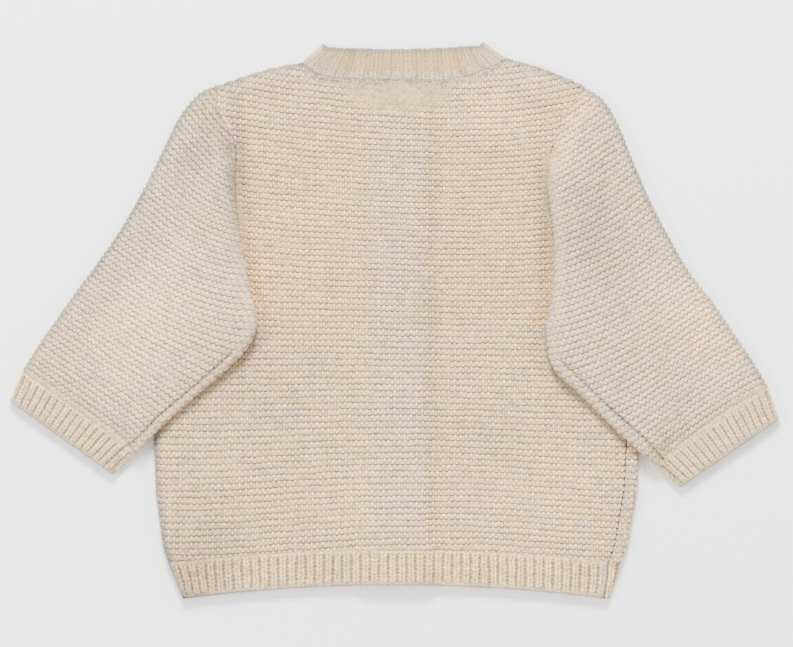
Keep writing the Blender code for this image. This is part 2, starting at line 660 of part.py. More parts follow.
def make_neckband():
    sections = []
    relief = []
    front_shares = np.delete(with_rims(np.linspace(0, 1, NECK_FRONT_STEPS + 1), NECK_FRONT_LENGTH), 1)

    def add_front(side, shares):
        for row in smooth_rows(NECK_FRONT[side], shares):
            points, directions = neck_section(row, 0.0, -1.0)
            points[:, 2] += front_level(points[:, 0], side)
            sections.append((points, directions))
            relief.append(0.0)

    def add_fold(side, rows):
        for section in (rows if side == LEFT else rows[::-1]):
            sections.append(section)
            relief.append(0.0)

    add_front(LEFT, front_shares[::-1])
    add_fold(LEFT, neck_fold(NECK_BACK[0], LEFT))
    lines = NECK_RIBS * len(RIB_WAVE)
    for k, row in enumerate(smooth_rows(NECK_BACK, np.arange(lines + 1) / lines)):
        sections.append(neck_section(row, LAYER, 1.0))
        relief.append(RIB_HEIGHT * RIB_WAVE[k % len(RIB_WAVE)])
    add_fold(RIGHT, neck_fold(NECK_BACK[-1], RIGHT))
    add_front(RIGHT, front_shares)
    middle = np.array([points for points, directions in sections])
    outward = np.array([directions for points, directions in sections])
    first_back = len(front_shares) + NECK_FOLD_LINES
    last_back = first_back + lines
    plain = [*range(first_back), *range(first_back, last_back, 2 * len(RIB_WAVE)),
             *range(last_back, len(sections))]
    return make_wall("neckband", CREAM_RIB, middle, outward,
                     relief=np.tile(np.array(relief)[:, None], (1, middle.shape[1])), plain_rows=plain)


# ---------------------------------------------------------------- button bands and buttons
def button_places():
    """y of each button, evenly spaced down the band."""
    foot = float(hem_foot(np.array(BAND_MIDDLE)))
    return np.linspace(BAND_TOP - BUTTON_END_MARGIN, foot + BUTTON_END_MARGIN, BUTTON_COUNT)


def make_band(side):
    """One button band; the right one lies on the surface and the left one on top of it."""
    across = with_rims(np.array([0.0, 0.5, 1.0]), 2 * BAND_HALF)
    x = BAND_MIDDLE - BAND_HALF + 2 * BAND_HALF * across
    foot = hem_foot(x)
    along = with_rims(np.linspace(0, 1, BAND_STEPS + 1), BAND_TOP - foot.min())
    y = foot + (BAND_TOP - foot) * along[:, None]
    x = np.repeat(x[None, :], len(along), axis=0)
    level = LAYER if side == LEFT else 0.0
    middle, outward = flat_middle(x, y, np.full_like(x, level))
    return make_wall("band_" + SIDE_NAME[side], CREAM_RIB, middle, outward)


def cut(piece, cutters):
    """Cut closed shapes out of a piece."""
    for cutter in cutters:
        modifier = piece.modifiers.new("cut_" + cutter.name, "BOOLEAN")
        modifier.operation = "DIFFERENCE"
        modifier.object = cutter


def make_cutter(name, radius, depth, location, vertices):
    bpy.ops.mesh.primitive_cylinder_add(vertices=vertices, radius=radius, depth=depth, location=location)
    cutter = bpy.context.object
    cutter.name = name
    for collection in cutter.users_collection:
        collection.objects.unlink(cutter)
    CUTTERS.objects.link(cutter)
    cutter.hide_render = True
    cutter.display_type = "WIRE"
    return cutter


def make_button(number, y):
    """A four-hole button, face down just above the surface."""
    middle_height = BUTTON_FLOOR_GAP + BUTTON_THICK / 2
    bpy.ops.mesh.primitive_cylinder_add(vertices=BUTTON_SIDES, radius=BUTTON_RADIUS,
                                        depth=BUTTON_THICK, location=(BAND_MIDDLE, y, middle_height))
    button = bpy.context.object
    button.name = f"button_{number}"
    bevel = button.modifiers.new("soft_rim", "BEVEL")
    bevel.width = BUTTON_BEVEL
    bevel.segments = 1
    bevel.limit_method = "ANGLE"
    holes = []
    for column in (-1, 1):
        for row in (-1, 1):
            place = (BAND_MIDDLE + column * BUTTON_HOLE_OFFSET, y + row * BUTTON_HOLE_OFFSET, middle_height)
            holes.append(make_cutter(f"hole_{number}_{column}_{row}", BUTTON_HOLE_RADIUS,
                                     4 * BUTTON_THICK, place, HOLE_SIDES))
    cut(button, holes)
    finish(button, BUTTON_COLOUR, BUTTON_ROUGHNESS)
    return button


# ---------------------------------------------------------------- the cardigan
for old in list(bpy.data.objects):
    bpy.data.objects.remove(old, do_unlink=True)

PARTS = bpy.data.collections.new(OBJECT_NAME)
CUTTERS = bpy.data.collections.new("cutters")
bpy.context.scene.collection.children.link(PARTS)
bpy.context.scene.collection.children.link(CUTTERS)

make_back()
make_hem_back()
make_neckband()
for body_side in (LEFT, RIGHT):
    make_front(body_side)
    make_hem_front(body_side)
    make_sleeve(body_side)
    make_cuff(body_side)
outer_band = make_band(RIGHT)
make_band(LEFT)
pockets = []
for button_number, button_y in enumerate(button_places(), start=1):
    make_button(button_number, button_y)
    pockets.append(make_cutter(f"pocket_{button_number}", BUTTON_RADIUS + GAP, 2 * POCKET_DEPTH,
                               (BAND_MIDDLE, button_y, 0.0), POCKET_SIDES))
cut(outer_band, pockets)
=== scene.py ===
"""A garter-stitch baby cardigan laid flat, back up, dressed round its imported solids.

Every cloth piece is a thin closed shell on its solid's form. Its outer side carries the
knit: ridges and loops on the garter pieces, ribs on the bands. The fields that say how the
rows run are polynomials in the garment's own plan. Metres, +X right, +Y to the neck, +Z up.
"""
from math import pi

import bmesh
import bpy
import numpy as np
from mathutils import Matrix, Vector
from mathutils.geometry import delaunay_2d_cdt
from mathutils.kdtree import KDTree

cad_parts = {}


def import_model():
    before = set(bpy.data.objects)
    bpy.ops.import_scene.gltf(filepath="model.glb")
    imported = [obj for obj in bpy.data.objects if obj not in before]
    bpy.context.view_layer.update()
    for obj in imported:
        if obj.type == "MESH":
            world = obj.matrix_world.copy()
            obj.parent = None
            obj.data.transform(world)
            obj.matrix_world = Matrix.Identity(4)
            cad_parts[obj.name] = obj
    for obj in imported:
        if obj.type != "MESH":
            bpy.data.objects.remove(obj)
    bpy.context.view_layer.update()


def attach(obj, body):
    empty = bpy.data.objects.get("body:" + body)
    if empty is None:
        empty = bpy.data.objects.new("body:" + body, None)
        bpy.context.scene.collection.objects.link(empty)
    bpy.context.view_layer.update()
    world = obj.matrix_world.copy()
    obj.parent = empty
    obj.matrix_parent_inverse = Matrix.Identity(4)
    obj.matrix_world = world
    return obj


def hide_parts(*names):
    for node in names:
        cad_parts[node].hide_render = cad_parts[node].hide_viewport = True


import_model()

# ---------------------------------------------------------------- sizes shared with the solids
CLOTH = 0.0030
GAP = 0.0003
NECK_GAP = 0.0005
LAYER = CLOTH + GAP
TURN = CLOTH + GAP / 2
TURN_MIDDLE = LAYER / 2
BAND_MIDDLE = 0.0033
BAND_HALF = 0.0150
BAND_TOP = 0.1246
RAMP_END, STEP_END = 0.0330, 0.0245
NECK_FALL_LOW, NECK_FALL_HIGH = 0.1300, 0.1430
HEM_JOIN, HEM_JOIN_RISE = -0.1455, 0.0080
HEM_SIDE, HEM_RISE, HEM_HALF_WIDTH = -0.1673, 0.0084, 0.1280
HEM_RIBS, CUFF_RIBS, NECK_RIBS = 48, 16, 21
HEM_LEAN = 0.018            # how far from its ends the hem's ribs lean
SHOULDER, SHOULDER_ARCH = 0.1407, 0.0016
ARMHOLE_LOW, ARMHOLE_HIGH = 0.0960, 0.1230
UNDERARM = 0.0051
LIFT, LIFT_FLAT, LIFT_END = 2 * LAYER, 0.0060, 0.0170
WRAP_LOW, WRAP_WIDE = 0.0034, 0.0082
WRAP_START, WRAP_END = UNDERARM + 0.0010, UNDERARM + 0.0180
FLUSH_LENGTH = 0.0120
BODY_WIDEST = -0.0700
TURN_APPROACH = FLAP_LEAST = 0.0004
FLAP_MARGIN = 0.2
BUTTON_COUNT, BUTTON_RADIUS, BUTTON_THICK = 5, 0.0070, 0.0015
BUTTON_FLOOR_GAP, BUTTON_END_MARGIN = 0.0002, 0.0100
BUTTON_HOLE, BUTTON_HOLE_SPREAD, BUTTONHOLE_HALF = 0.0009, 0.0018, 0.0088
DENT_WIDTH, DENT_DEPTH = 0.0016, 0.0021

LEFT, RIGHT = 0, 1
SIDE_NAME = ("left", "right")
OUTWARD = (-1.0, 1.0)

# side edges of the body: y, x of left edge, x of right edge
BODY_EDGE = np.array([
    (-0.1673, -0.1269, 0.1293), (-0.1557, -0.1317, 0.1335), (-0.1455, -0.1359, 0.1365),
    (-0.1347, -0.1392, 0.1404), (-0.1017, -0.1434, 0.1461), (-0.0700, -0.1443, 0.1476),
    (-0.0357, -0.1422, 0.1461), (0.0051, -0.1371, 0.1413), (0.0213, -0.1233, 0.1275),
    (0.0351, -0.1149, 0.1179), (0.0621, -0.1035, 0.1041), (0.0891, -0.0969, 0.0954),
    (0.1011, -0.0951, 0.0939), (0.1101, -0.0969, 0.0972), (0.1203, -0.1029, 0.0996),
    (0.1293, -0.1062, 0.1065), (0.1407, -0.1065, 0.1143),
])
# sections of each sleeve from shoulder to wrist: x, y of its outer edge, x, y of its inner edge
SLEEVE = (np.array([
    (-0.1065, 0.1416, -0.0951, 0.1023), (-0.1173, 0.1365, -0.0951, 0.0807),
    (-0.1287, 0.1233, -0.0933, 0.0591), (-0.1389, 0.1029, -0.0897, 0.0375),
    (-0.1503, 0.0801, -0.0855, 0.0165), (-0.1623, 0.0585, -0.0825, -0.0039),
    (-0.1755, 0.0387, -0.0897, -0.0189), (-0.1881, 0.0219, -0.1047, -0.0333),
    (-0.2001, 0.0051, -0.1215, -0.0477), (-0.2115, -0.0111, -0.1377, -0.0621),
    (-0.2235, -0.0303, -0.1545, -0.0795),
]), np.array([
    (0.1143, 0.1401, 0.0939, 0.1011), (0.1245, 0.1335, 0.0915, 0.0819),
    (0.1335, 0.1197, 0.0939, 0.0597), (0.1425, 0.0981, 0.0957, 0.0375),
    (0.1527, 0.0741, 0.0945, 0.0159), (0.1647, 0.0507, 0.0909, -0.0057),
    (0.1773, 0.0291, 0.0945, -0.0279), (0.1917, 0.0105, 0.1101, -0.0435),
    (0.2043, -0.0081, 0.1257, -0.0591), (0.2145, -0.0231, 0.1407, -0.0735),
    (0.2241, -0.0393, 0.1563, -0.0873),
]))
CUFF_MOUTH = ((-0.2313, -0.0483, -0.1689, -0.0927), (0.2313, -0.0591, 0.1713, -0.1005))
# sections of the neckband: x, y of its seam with the body, x, y of its free edge
NECK_BACK = np.array([
    (-0.0528, 0.1530, -0.0402, 0.1642), (-0.0435, 0.1477, -0.0339, 0.1637),
    (-0.0297, 0.1458, -0.0243, 0.1635), (0.0045, 0.1453, 0.0045, 0.1630),
    (0.0363, 0.1457, 0.0333, 0.1639), (0.0525, 0.1505, 0.0435, 0.1648),
    (0.0639, 0.1555, 0.0507, 0.1649),
])
NECK_FRONT = (np.array([
    (-0.0528, 0.1530, -0.0402, 0.1642), (-0.0522, 0.1413, -0.0381, 0.1503),
    (-0.0453, 0.1263, -0.0327, 0.1377), (-0.0309, 0.1143, -0.0231, 0.1287),
    (-0.0120, 0.1083, -0.0120, 0.1248),
]), np.array([
    (0.0639, 0.1555, 0.0507, 0.1649), (0.0639, 0.1425, 0.0489, 0.1509),
    (0.0573, 0.1275, 0.0435, 0.1383), (0.0417, 0.1143, 0.0333, 0.1287),
    (0.0186, 0.1077, 0.0186, 0.1245),
]))

# ---------------------------------------------------------------- sizes of the knit
STITCH = 0.0033             # width of a garter stitch
COLUMNS_A_STITCH = 4
WAVE = 0.045                # how far the loops swing up and down, in ridges
# the mesh's rows in each ridge: place from its crest, and swing, in ridges
MESH_ROWS = ((-0.38, 0.5 * WAVE), (0.0, 0.0), (0.38, 0.5 * WAVE), (0.5, WAVE))
RIDGE_CREST = 0.0002        # height of a ridge above its solid
RIDGE_DEPTH = 0.0012        # from there down to the valley between ridges
RIB_CREST = 0.0004
RIB_DEPTH = 0.0013
RIB_ROWS = 9                # stitches up a hem or cuff
RIB_START = 0.965           # where rib begins, as a share of its height from the free end
RIM_ROWS = 4                # points on a side edge for each ridge
EDGE_SCALLOP = 0.0013       # how far they bulge out at each ridge
EDGE_ROUND = 0.0013         # radius of free and side edges
SIDE_ROUND = 0.0008         # of the right side seam's edge
ARMHOLE_FLUSH = 0.1050      # from here up the sleeve and the back are level
SEAM_ROUND = 0.0003         # radius of edges that are knitted or sewn on to another piece
SEAM_GAP = 0.00005          # what is left open between them
SEAM_DEPTH = 0.0015         # how deep the underarm seam is drawn in
YARN_RADIUS = 0.00030       # sewing
NECK_YARN_RADIUS = 0.00030  # stitches picked up round the neck
SHARP = 1.25                # angle of edges that are shaded as corners
COARSE = 0.0045             # spacing of points on hidden sides
RIM_STEP = 0.0011           # spacing of points on edges that don't follow the rows
RING_INSET = 0.00035        # how far a panel's last ring of points lies inside its edge
SLOPE_STEP = 0.0002         # step in which the spacing of rows is measured
FLAT_CALM = 0.88            # share of the relief that is gone where the back is calm
FLOOR_DROP = 0.00002        # from the garment's underside to the floor

SLEEVE_CROWN = 0.0016       # how far a sleeve's top stands proud, away from its folds

# hollows and swells of the cloth, in metres
BACK_CREASES = ((0.0213, -0.02, 90, 0.120, 0.0050, -0.0009), (-0.120, -0.135, 60, 0.030, 0.020, -0.0012),
                (-0.015, -0.110, 0, 0.030, 0.020, 0.0008), (0.095, -0.115, 0, 0.035, 0.022, 0.0008),
                (-0.078, 0.139, 12, 0.024, 0.004, -0.0006), (-0.075, 0.02, 90, 0.05, 0.010, 0.0006),
                (-0.0905, 0.095, 93, 0.030, 0.0045, -0.0008))
SLEEVE_CREASES = (((-0.115, 0.095, 60, 0.030, 0.008, -0.0010), (-0.138, 0.005, 50, 0.045, 0.030, 0.0010),
                   (-0.185, -0.010, 50, 0.020, 0.008, -0.0006)),
                  ((0.122, 0.050, 100, 0.035, 0.010, -0.0012), (0.175, 0.005, 120, 0.030, 0.012, 0.0010),
                   (0.108, 0.110, 75, 0.025, 0.007, 0.0008)))
# painted shade (above 0) and painted light (below 0) on the cloth along them, as shares
BACK_PAINTED_SHADING = ((0.0213, -0.01, 90, 0.120, 0.0070, 0.20), (-0.120, -0.148, 60, 0.042, 0.024, 0.45),
               (-0.015, -0.110, 0, 0.030, 0.022, -0.20), (0.082, -0.115, 0, 0.050, 0.026, -0.22),
               (-0.072, -0.050, 45, 0.035, 0.025, 0.13), (0.063, -0.062, -30, 0.035, 0.022, 0.12),
               (0.066, 0.119, -20, 0.026, 0.014, -0.16), (0.085, 0.131, -30, 0.020, 0.004, 0.25),
               (-0.078, 0.138, 12, 0.026, 0.006, 0.25), (-0.094, 0.112, 95, 0.026, 0.006, 0.35),
               (-0.090, 0.080, 95, 0.035, 0.0045, 0.30), (0.090, 0.050, 90, 0.050, 0.006, 0.45),
               (0.000, 0.138, 0, 0.035, 0.008, 0.20), (0.060, 0.128, 0, 0.030, 0.012, -0.12))
SLEEVE_PAINTED_SHADING = (((-0.115, 0.108, 60, 0.038, 0.016, 0.36), (-0.142, 0.000, 50, 0.045, 0.026, -0.42),
                  (-0.170, 0.045, 50, 0.030, 0.014, 0.14), (-0.0975, 0.085, 93, 0.045, 0.005, 0.45)),
                 ((0.122, 0.050, 100, 0.040, 0.018, 0.30), (0.180, -0.002, 120, 0.038, 0.022, -0.45),
                  (0.106, 0.112, 75, 0.030, 0.009, -0.35)))

UNDERARM_SEAM = (
    ((-0.1731, -0.0855), (-0.1600, -0.0750), (-0.1539, -0.0705), (-0.1413, -0.0573), (-0.1155, -0.0357),
     (-0.0975, -0.0195)),
    ((0.1713, -0.0999), (0.1640, -0.0875), (0.1611, -0.0831), (0.1491, -0.0699), (0.1257, -0.0495),
     (0.0999, -0.0243)))
# how rows run: middle x, y; direction of a row in degrees; powers of x and y with their factors,
# which count ridges, with x and y in units of 60 mm from the middle
FIELD_UNIT = 0.06
BODY_FIELD = ((0.0, 0.0), 0.0, (
    (0, 1, -16.718), (0, 2, -0.465), (0, 3, -0.098), (0, 4, 0.045), (0, 5, 0.015),
    (1, 0, -0.381), (1, 1, -0.320), (1, 2, 0.020), (2, 0, -0.027), (2, 1, 0.374),
    (2, 2, 0.017), (2, 3, -0.021), (3, 0, 0.037), (3, 1, 0.048), (4, 0, 0.048)))
SLEEVE_FIELD = (((-0.12833, 0.0333), -33.0, (
    (0, 0, 0.080), (0, 1, -15.850), (0, 2, 0.677), (0, 3, 0.830), (0, 4, -0.204), (1, 0, -8.769),
    (1, 1, -3.834), (1, 2, -1.204), (1, 3, 1.453), (2, 0, 3.558), (2, 1, -1.458),
    (2, 2, -2.677), (3, 0, 2.520), (3, 1, 1.615), (4, 0, 0.109))),
    ((0.13329, 0.02627), 30.0, (
    (0, 0, 0.250), (0, 1, -14.652), (0, 2, 0.610), (0, 3, 0.153), (0, 4, -0.185), (1, 0, 8.437),
    (1, 1, 1.431), (1, 2, 0.281), (1, 3, -0.355), (2, 0, 2.793), (2, 1, -1.396),
    (2, 2, -0.803), (3, 0, -1.368), (3, 1, -0.197), (4, 0, -0.332))))


# ---------------------------------------------------------------- curves and levels
def smooth_rows(table, shares):
    """Rows of a table read at shares of its length, along a smooth curve through them."""
    steps = np.linalg.norm(np.diff(table, axis=0), axis=1)
    knots = np.concatenate(([0.0], np.cumsum(steps))) / steps.sum()
    slopes = np.gradient(table, knots, axis=0)
    shares = np.atleast_1d(shares)
    left = np.clip(np.searchsorted(knots, shares, side="right") - 1, 0, len(knots) - 2)
    span = (knots[left + 1] - knots[left])[:, None]
    t = ((shares - knots[left]) / span[:, 0])[:, None]
    return ((2 * t**3 - 3 * t**2 + 1) * table[left] + (t**3 - 2 * t**2 + t) * span * slopes[left]
            + (3 * t**2 - 2 * t**3) * table[left + 1] + (t**3 - t**2) * span * slopes[left + 1])


def ease(t):
    """A step from 0 to 1 with soft ends."""
    t = np.clip(t, 0.0, 1.0)
    return t * t * (3 - 2 * t)


def past(value, start, width):
    """0 up to a start and 1 from a width after it on, with soft ends."""
    return ease((value - start) / width)


def before(value, start, width):
    """1 up to a start and 0 from a width after it on, with soft ends."""
    return 1 - past(value, start, width)


def unit(vectors):
    return vectors / np.maximum(np.linalg.norm(vectors, axis=1), 1e-12)[:, None]


def ways(line):
    """Directions along a line at each of its points, and to its left."""
    way = unit(np.gradient(line, axis=0))
    return way, np.stack([-way[:, 1], way[:, 0]], axis=1)


def lengths(line):
    """How far along a line each of its points is."""
    return np.concatenate(([0.0], np.cumsum(np.linalg.norm(np.diff(line, axis=0), axis=1))))


def read_line(line, places, at):
    """Points of a line at some places, where places says what is given at its own points."""
    return np.stack([np.interp(at, places, line[:, k]) for k in (0, 1)], axis=1)


def body_edge(y, side):
    return np.interp(y, BODY_EDGE[:, 0], BODY_EDGE[:, 1 + side])


def placket_rise(x, end=RAMP_END):
    """How far cloth is raised near the middle, where one button band lies on the other."""
    return LAYER * ease((end - np.abs(x - BAND_MIDDLE)) / (end - BAND_HALF))


def back_level(x, y):
    fall = before(y, NECK_FALL_LOW, NECK_FALL_HIGH - NECK_FALL_LOW)
    rise = np.where(x > BAND_MIDDLE, placket_rise(x, STEP_END), placket_rise(x))
    return LAYER + rise * fall


def front_level(x, side):
    if side == LEFT:
        return placket_rise(x)
    return np.zeros_like(x)


def sleeve_level(x, y, side, slope=LIFT_END - LIFT_FLAT):
    outside = (x - body_edge(y, side)) * OUTWARD[side]
    near = before(outside, LIFT_FLAT, slope)
    lifted = before(y, ARMHOLE_LOW, ARMHOLE_HIGH - ARMHOLE_LOW)
    return LIFT * near * lifted


def hem_foot(x):
    return HEM_SIDE + HEM_RISE * (1 - np.minimum(np.abs(x) / HEM_HALF_WIDTH, 1.0) ** 2)


def hem_seam(x):
    return HEM_JOIN + HEM_JOIN_RISE * (1 - np.minimum(np.abs(x) / BODY_EDGE[2, 2], 1.0) ** 2)


def neck_frame(row, side):
    across = (row[2:] - row[:2]) / np.linalg.norm(row[2:] - row[:2])
    away = np.array([-across[1], across[0]]) * -OUTWARD[side]
    return across, away


def neck_corner(side):
    """The point where a shoulder meets the fold of the neckband."""
    row = NECK_BACK[0 if side == LEFT else -1]
    across, away = neck_frame(row, side)
    return row[:2] + away * TURN - across * NECK_GAP


def shoulder_line(side, count):
    """Points of the shoulder from the armhole to the neck, slightly arched."""
    shares = np.linspace(0, 1, count)
    edge = np.array([body_edge(SHOULDER, side), SHOULDER])
    points = edge + shares[:, None] * (neck_corner(side) - edge)
    points[:, 1] += SHOULDER_ARCH * np.sin(pi * shares)
    return points


def wrap_angle(y):
    """How far the right front's edge is turned up: half a turn up to the underarm, then less."""
    return pi * before(y, WRAP_START, WRAP_END - WRAP_START)


def wrap_width(y):
    heights = (HEM_SIDE, HEM_JOIN, BODY_WIDEST, UNDERARM)
    return np.interp(y, heights, (WRAP_LOW, WRAP_WIDE, WRAP_WIDE, WRAP_LOW))


def right_seam(y):
    """x of the back's right edge."""
    beside = body_edge(y, RIGHT) - wrap_width(y) - SEAM_GAP
    return beside + (body_edge(y, RIGHT) - beside) * past(y, WRAP_END, FLUSH_LENGTH)


def turned_edge(y, count):
    """Middle points (x, z) and outward directions of the right front's turned-up edge."""
    angle = wrap_angle(y)[:, None]
    folded = ease(angle / pi)
    flap = folded * np.maximum(wrap_width(y)[:, None] - TURN, 0.0) + (1 - folded) * TURN
    opening = (angle > FLAP_MARGIN) & (angle < pi - FLAP_MARGIN)
    flap = np.maximum(np.where(opening, 0.0, flap), FLAP_LEAST)
    along = np.linspace(0, 1, count)[None, :] * (TURN_MIDDLE * angle + flap)
    turned = np.minimum(along / TURN_MIDDLE, angle)
    straight = along - TURN_MIDDLE * turned
    start = body_edge(y, RIGHT)[:, None] - TURN
    x = start + TURN_MIDDLE * np.sin(turned) + straight * np.cos(angle)
    z = TURN - TURN_MIDDLE * np.cos(turned) + straight * np.sin(angle)
    return x, z, np.sin(turned), -np.cos(turned)


def soft_noise(x, y, size, seed):
    """Smooth noise from -1 to 1 with features of the given size."""
    table = np.random.default_rng(seed).uniform(-1, 1, (64, 64))
    gx, gy = x / size + 19.7, y / size + 23.1
    ix, iy = np.floor(gx).astype(int), np.floor(gy).astype(int)
    fx, fy = ease(gx - ix), ease(gy - iy)
    low = table[ix % 64, iy % 64] * (1 - fx) + table[(ix + 1) % 64, iy % 64] * fx
    high = table[ix % 64, (iy + 1) % 64] * (1 - fx) + table[(ix + 1) % 64, (iy + 1) % 64] * fx
    return low * (1 - fy) + high * fy


# ---------------------------------------------------------------- knit
class Garter:
    """Garter stitch on a plan: v counts ridges towards the neck or shoulder, u counts stitches."""

    def __init__(self, field):
        (self.cx, self.cy), angle, self.terms = field
        self.along = np.array([np.cos(np.radians(angle)), np.sin(np.radians(angle))])
        self.up = np.array([-self.along[1], self.along[0]])

    def ridges(self, x, y):
        """Ridge count, which grows towards the neck; rows wander by a tenth of their width."""
        a, b = (x - self.cx) / FIELD_UNIT, (y - self.cy) / FIELD_UNIT
        wander = 0.10 * soft_noise(x, y, 0.011, 5) + 0.05 * soft_noise(x, y, 0.004, 6)
        return -sum(k * a**i * b**j for i, j, k in self.terms) + wander

    def coordinates(self, x, y):
        straight = ((x - self.cx) * self.along[0] + (y - self.cy) * self.along[1]) / STITCH
        return straight + 0.25 * soft_noise(x, y, 0.0075, 8), self.ridges(x, y)

    def knit(self, plan):
        return np.column_stack(self.coordinates(*plan.T))

    def lattice(self, loop):
        """Points inside a loop that follow the stitches, in the mesh's rows."""
        around = self.knit(loop)
        low, high = np.floor(around.min(axis=0) - 2), around.max(axis=0) + 2
        places, swings = np.transpose(MESH_ROWS)
        u, ridges = np.arange(low[0], high[0], 1 / COLUMNS_A_STITCH), np.arange(low[1], high[1])
        v, swing = (ridges[:, None] + places).ravel(), np.tile(swings, len(ridges))
        u, v, swing = [g.ravel() for g in np.broadcast_arrays(u, v[:, None], swing[:, None])]
        base = np.array([self.cx, self.cy]) + u[:, None] * STITCH * self.along
        target = v + swing * np.cos(2 * pi * u)
        climb = np.zeros(len(u))
        for _ in range(8):
            p = base + climb[:, None] * self.up
            now = self.ridges(*p.T)
            slope = (self.ridges(*(p + SLOPE_STEP * self.up).T) - now) / SLOPE_STEP
            climb -= np.clip((now - target) / np.maximum(slope, 120.0), -0.02, 0.02)
        p = base + climb[:, None] * self.up
        return within(loop, p[np.abs(self.ridges(*p.T) - target) < 0.05])

    def relief(self, x, y):
        """Height of the knit, from 0 on a crest down to -1 in a valley."""
        u, v = self.coordinates(x, y)
        turn = np.cos(2 * pi * u)
        t = v - WAVE * turn
        t = np.abs(t - np.round(t)) * 2
        uneven = 0.14 * soft_noise(x, y, 0.0024, 7)
        pits = 0.76 - 0.24 * turn
        return (1 - t ** 7) * (0.86 + 0.15 * (turn * np.sin(2 * pi * v)) + uneven - (1 - pits)) - pits


# ---------------------------------------------------------------- shells of cloth
class Shell:
    """A mesh put together from skins, grids and strips, with knit coordinates at each point."""

    def __init__(self):
        self.points, self.knit, self.faces, self.count = [], [], [], 0

    def add(self, points, knit):
        points = np.asarray(points, float).reshape(-1, 3)
        knit = np.broadcast_to(np.asarray(knit, float), (len(points), 2))
        ids = np.arange(self.count, self.count + len(points))
        self.points.append(points)
        self.knit.append(knit)
        self.count += len(points)
        return ids

    def skin(self, loop, loop_plan, inner, inner_plan):
        """Fill a closed loop of points, and the points inside it, with triangles."""
        plan = np.concatenate([loop_plan, inner_plan])
        ids = np.concatenate([loop, inner])
        vectors = [Vector(p) for p in plan * 100]
        made = delaunay_2d_cdt(vectors, [], [list(range(len(loop)))], 1, 1e-9)
        origins = np.array([o[0] if o else -1 for o in made[3]])
        triangles = origins[np.array(made[2])]
        if (origins < 0).any() or len(made[0]) != len(plan):
            raise RuntimeError("a skin's outline crosses itself")
        self.faces.append(ids[triangles])

    def grid(self, ids, closed=False):
        if closed:
            ids = np.concatenate([ids, ids[:, :1]], axis=1)
        a, b, c, d = ids[:-1, :-1], ids[:-1, 1:], ids[1:, 1:], ids[1:, :-1]
        self.faces.append(np.stack([a, b, c], axis=-1).reshape(-1, 3))
        self.faces.append(np.stack([a, c, d], axis=-1).reshape(-1, 3))

    def strip(self, one, other):
        """Fill between two rows of points that may differ in number and may share their ends."""
        place = np.concatenate(self.points)

        def shares(row):
            steps = np.linalg.norm(np.diff(place[row], axis=0), axis=1)
            return np.concatenate(([0.0], np.cumsum(steps))) / max(steps.sum(), 1e-9)
        share_one, share_other = shares(one), shares(other)
        i = j = 0
        faces = []
        while i < len(one) - 1 or j < len(other) - 1:
            if j == len(other) - 1 or (i < len(one) - 1 and share_one[i + 1] <= share_other[j + 1]):
                face = (one[i], one[i + 1], other[j])
                i += 1
            else:
                face = (one[i], other[j + 1], other[j])
                j += 1
            if len(set(face)) == 3:
                faces.append(face)
        self.faces.append(np.array(faces))

    def build(self, name, material, slot, node=None, tint=None):
        """Make the piece, in a material slot, and in place of a solid where it has one."""
        points, knit = np.concatenate(self.points), np.concatenate(self.knit)
        faces = np.concatenate(self.faces)
        mesh = bpy.data.meshes.new(name)
        mesh.vertices.add(len(points))
        mesh.vertices.foreach_set("co", points.astype(np.float32).ravel())
        mesh.loops.add(3 * len(faces))
        mesh.loops.foreach_set("vertex_index", faces.astype(np.int32).ravel())
        mesh.polygons.add(len(faces))
        mesh.polygons.foreach_set("loop_start", np.arange(0, 3 * len(faces), 3, dtype=np.int32))
        mesh.update(calc_edges=True)
        work = bmesh.new()
        work.from_mesh(mesh)
        bmesh.ops.recalc_face_normals(work, faces=work.faces)
        work.to_mesh(mesh)
        work.free()
        corner = np.zeros(len(mesh.loops), dtype=np.int32)
        mesh.loops.foreach_get("vertex_index", corner)
        layer = mesh.uv_layers.new(name="knit")
        layer.data.foreach_set("uv", knit[corner].astype(np.float32).ravel())
        layer = mesh.attributes.new("tint", "FLOAT_COLOR", "POINT")
        shades = np.zeros((len(points), 4)) if tint is None else tint(points)
        layer.data.foreach_set("color", shades.astype(np.float32).ravel())
        mesh.shade_smooth()
        mesh.set_sharp_from_angle(angle=SHARP)
        mesh.materials.append(material)
        piece = add_object(name, mesh)
        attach(piece, "root")
        if node is not None:
            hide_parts(node)
        return piece


def add_object(name, data):
    made = bpy.data.objects.new(name, data)
    bpy.context.collection.objects.link(made)
    return made


class Edge:
    """Samples of a piece's edges, for the distance of a point to them and the way out."""

    def __init__(self, lines, step=0.0003):
        places, outs, radii = [], [], []
        for line, radius in lines:
            length = lengths(line)
            at = np.linspace(0, length[-1], max(int(length[-1] / step), 2))
            places.append(read_line(line, length, at))
            outs.append(-ways(places[-1])[1])
            radii.append(np.full(len(at), radius))
        self.outs, self.radii = np.concatenate(outs), np.concatenate(radii)
        self.tree = KDTree(len(self.outs))
        for k, (x, y) in enumerate(np.concatenate(places)):
            self.tree.insert((x, y, 0.0), k)
        self.tree.balance()

    def near(self, plan):
        """Distance to the nearest edge, the way out there and the radius of that edge."""
        found = [self.tree.find((x, y, 0.0)) for x, y in plan]
        index = np.array([f[1] for f in found])
        return np.array([f[2] for f in found]), self.outs[index], self.radii[index]

    def distance(self, plan):
        return self.near(plan)[0]


def distance_to(lines, plan, step=0.001):
    return Edge([(line, 0.0) for line in lines], step).distance(plan)


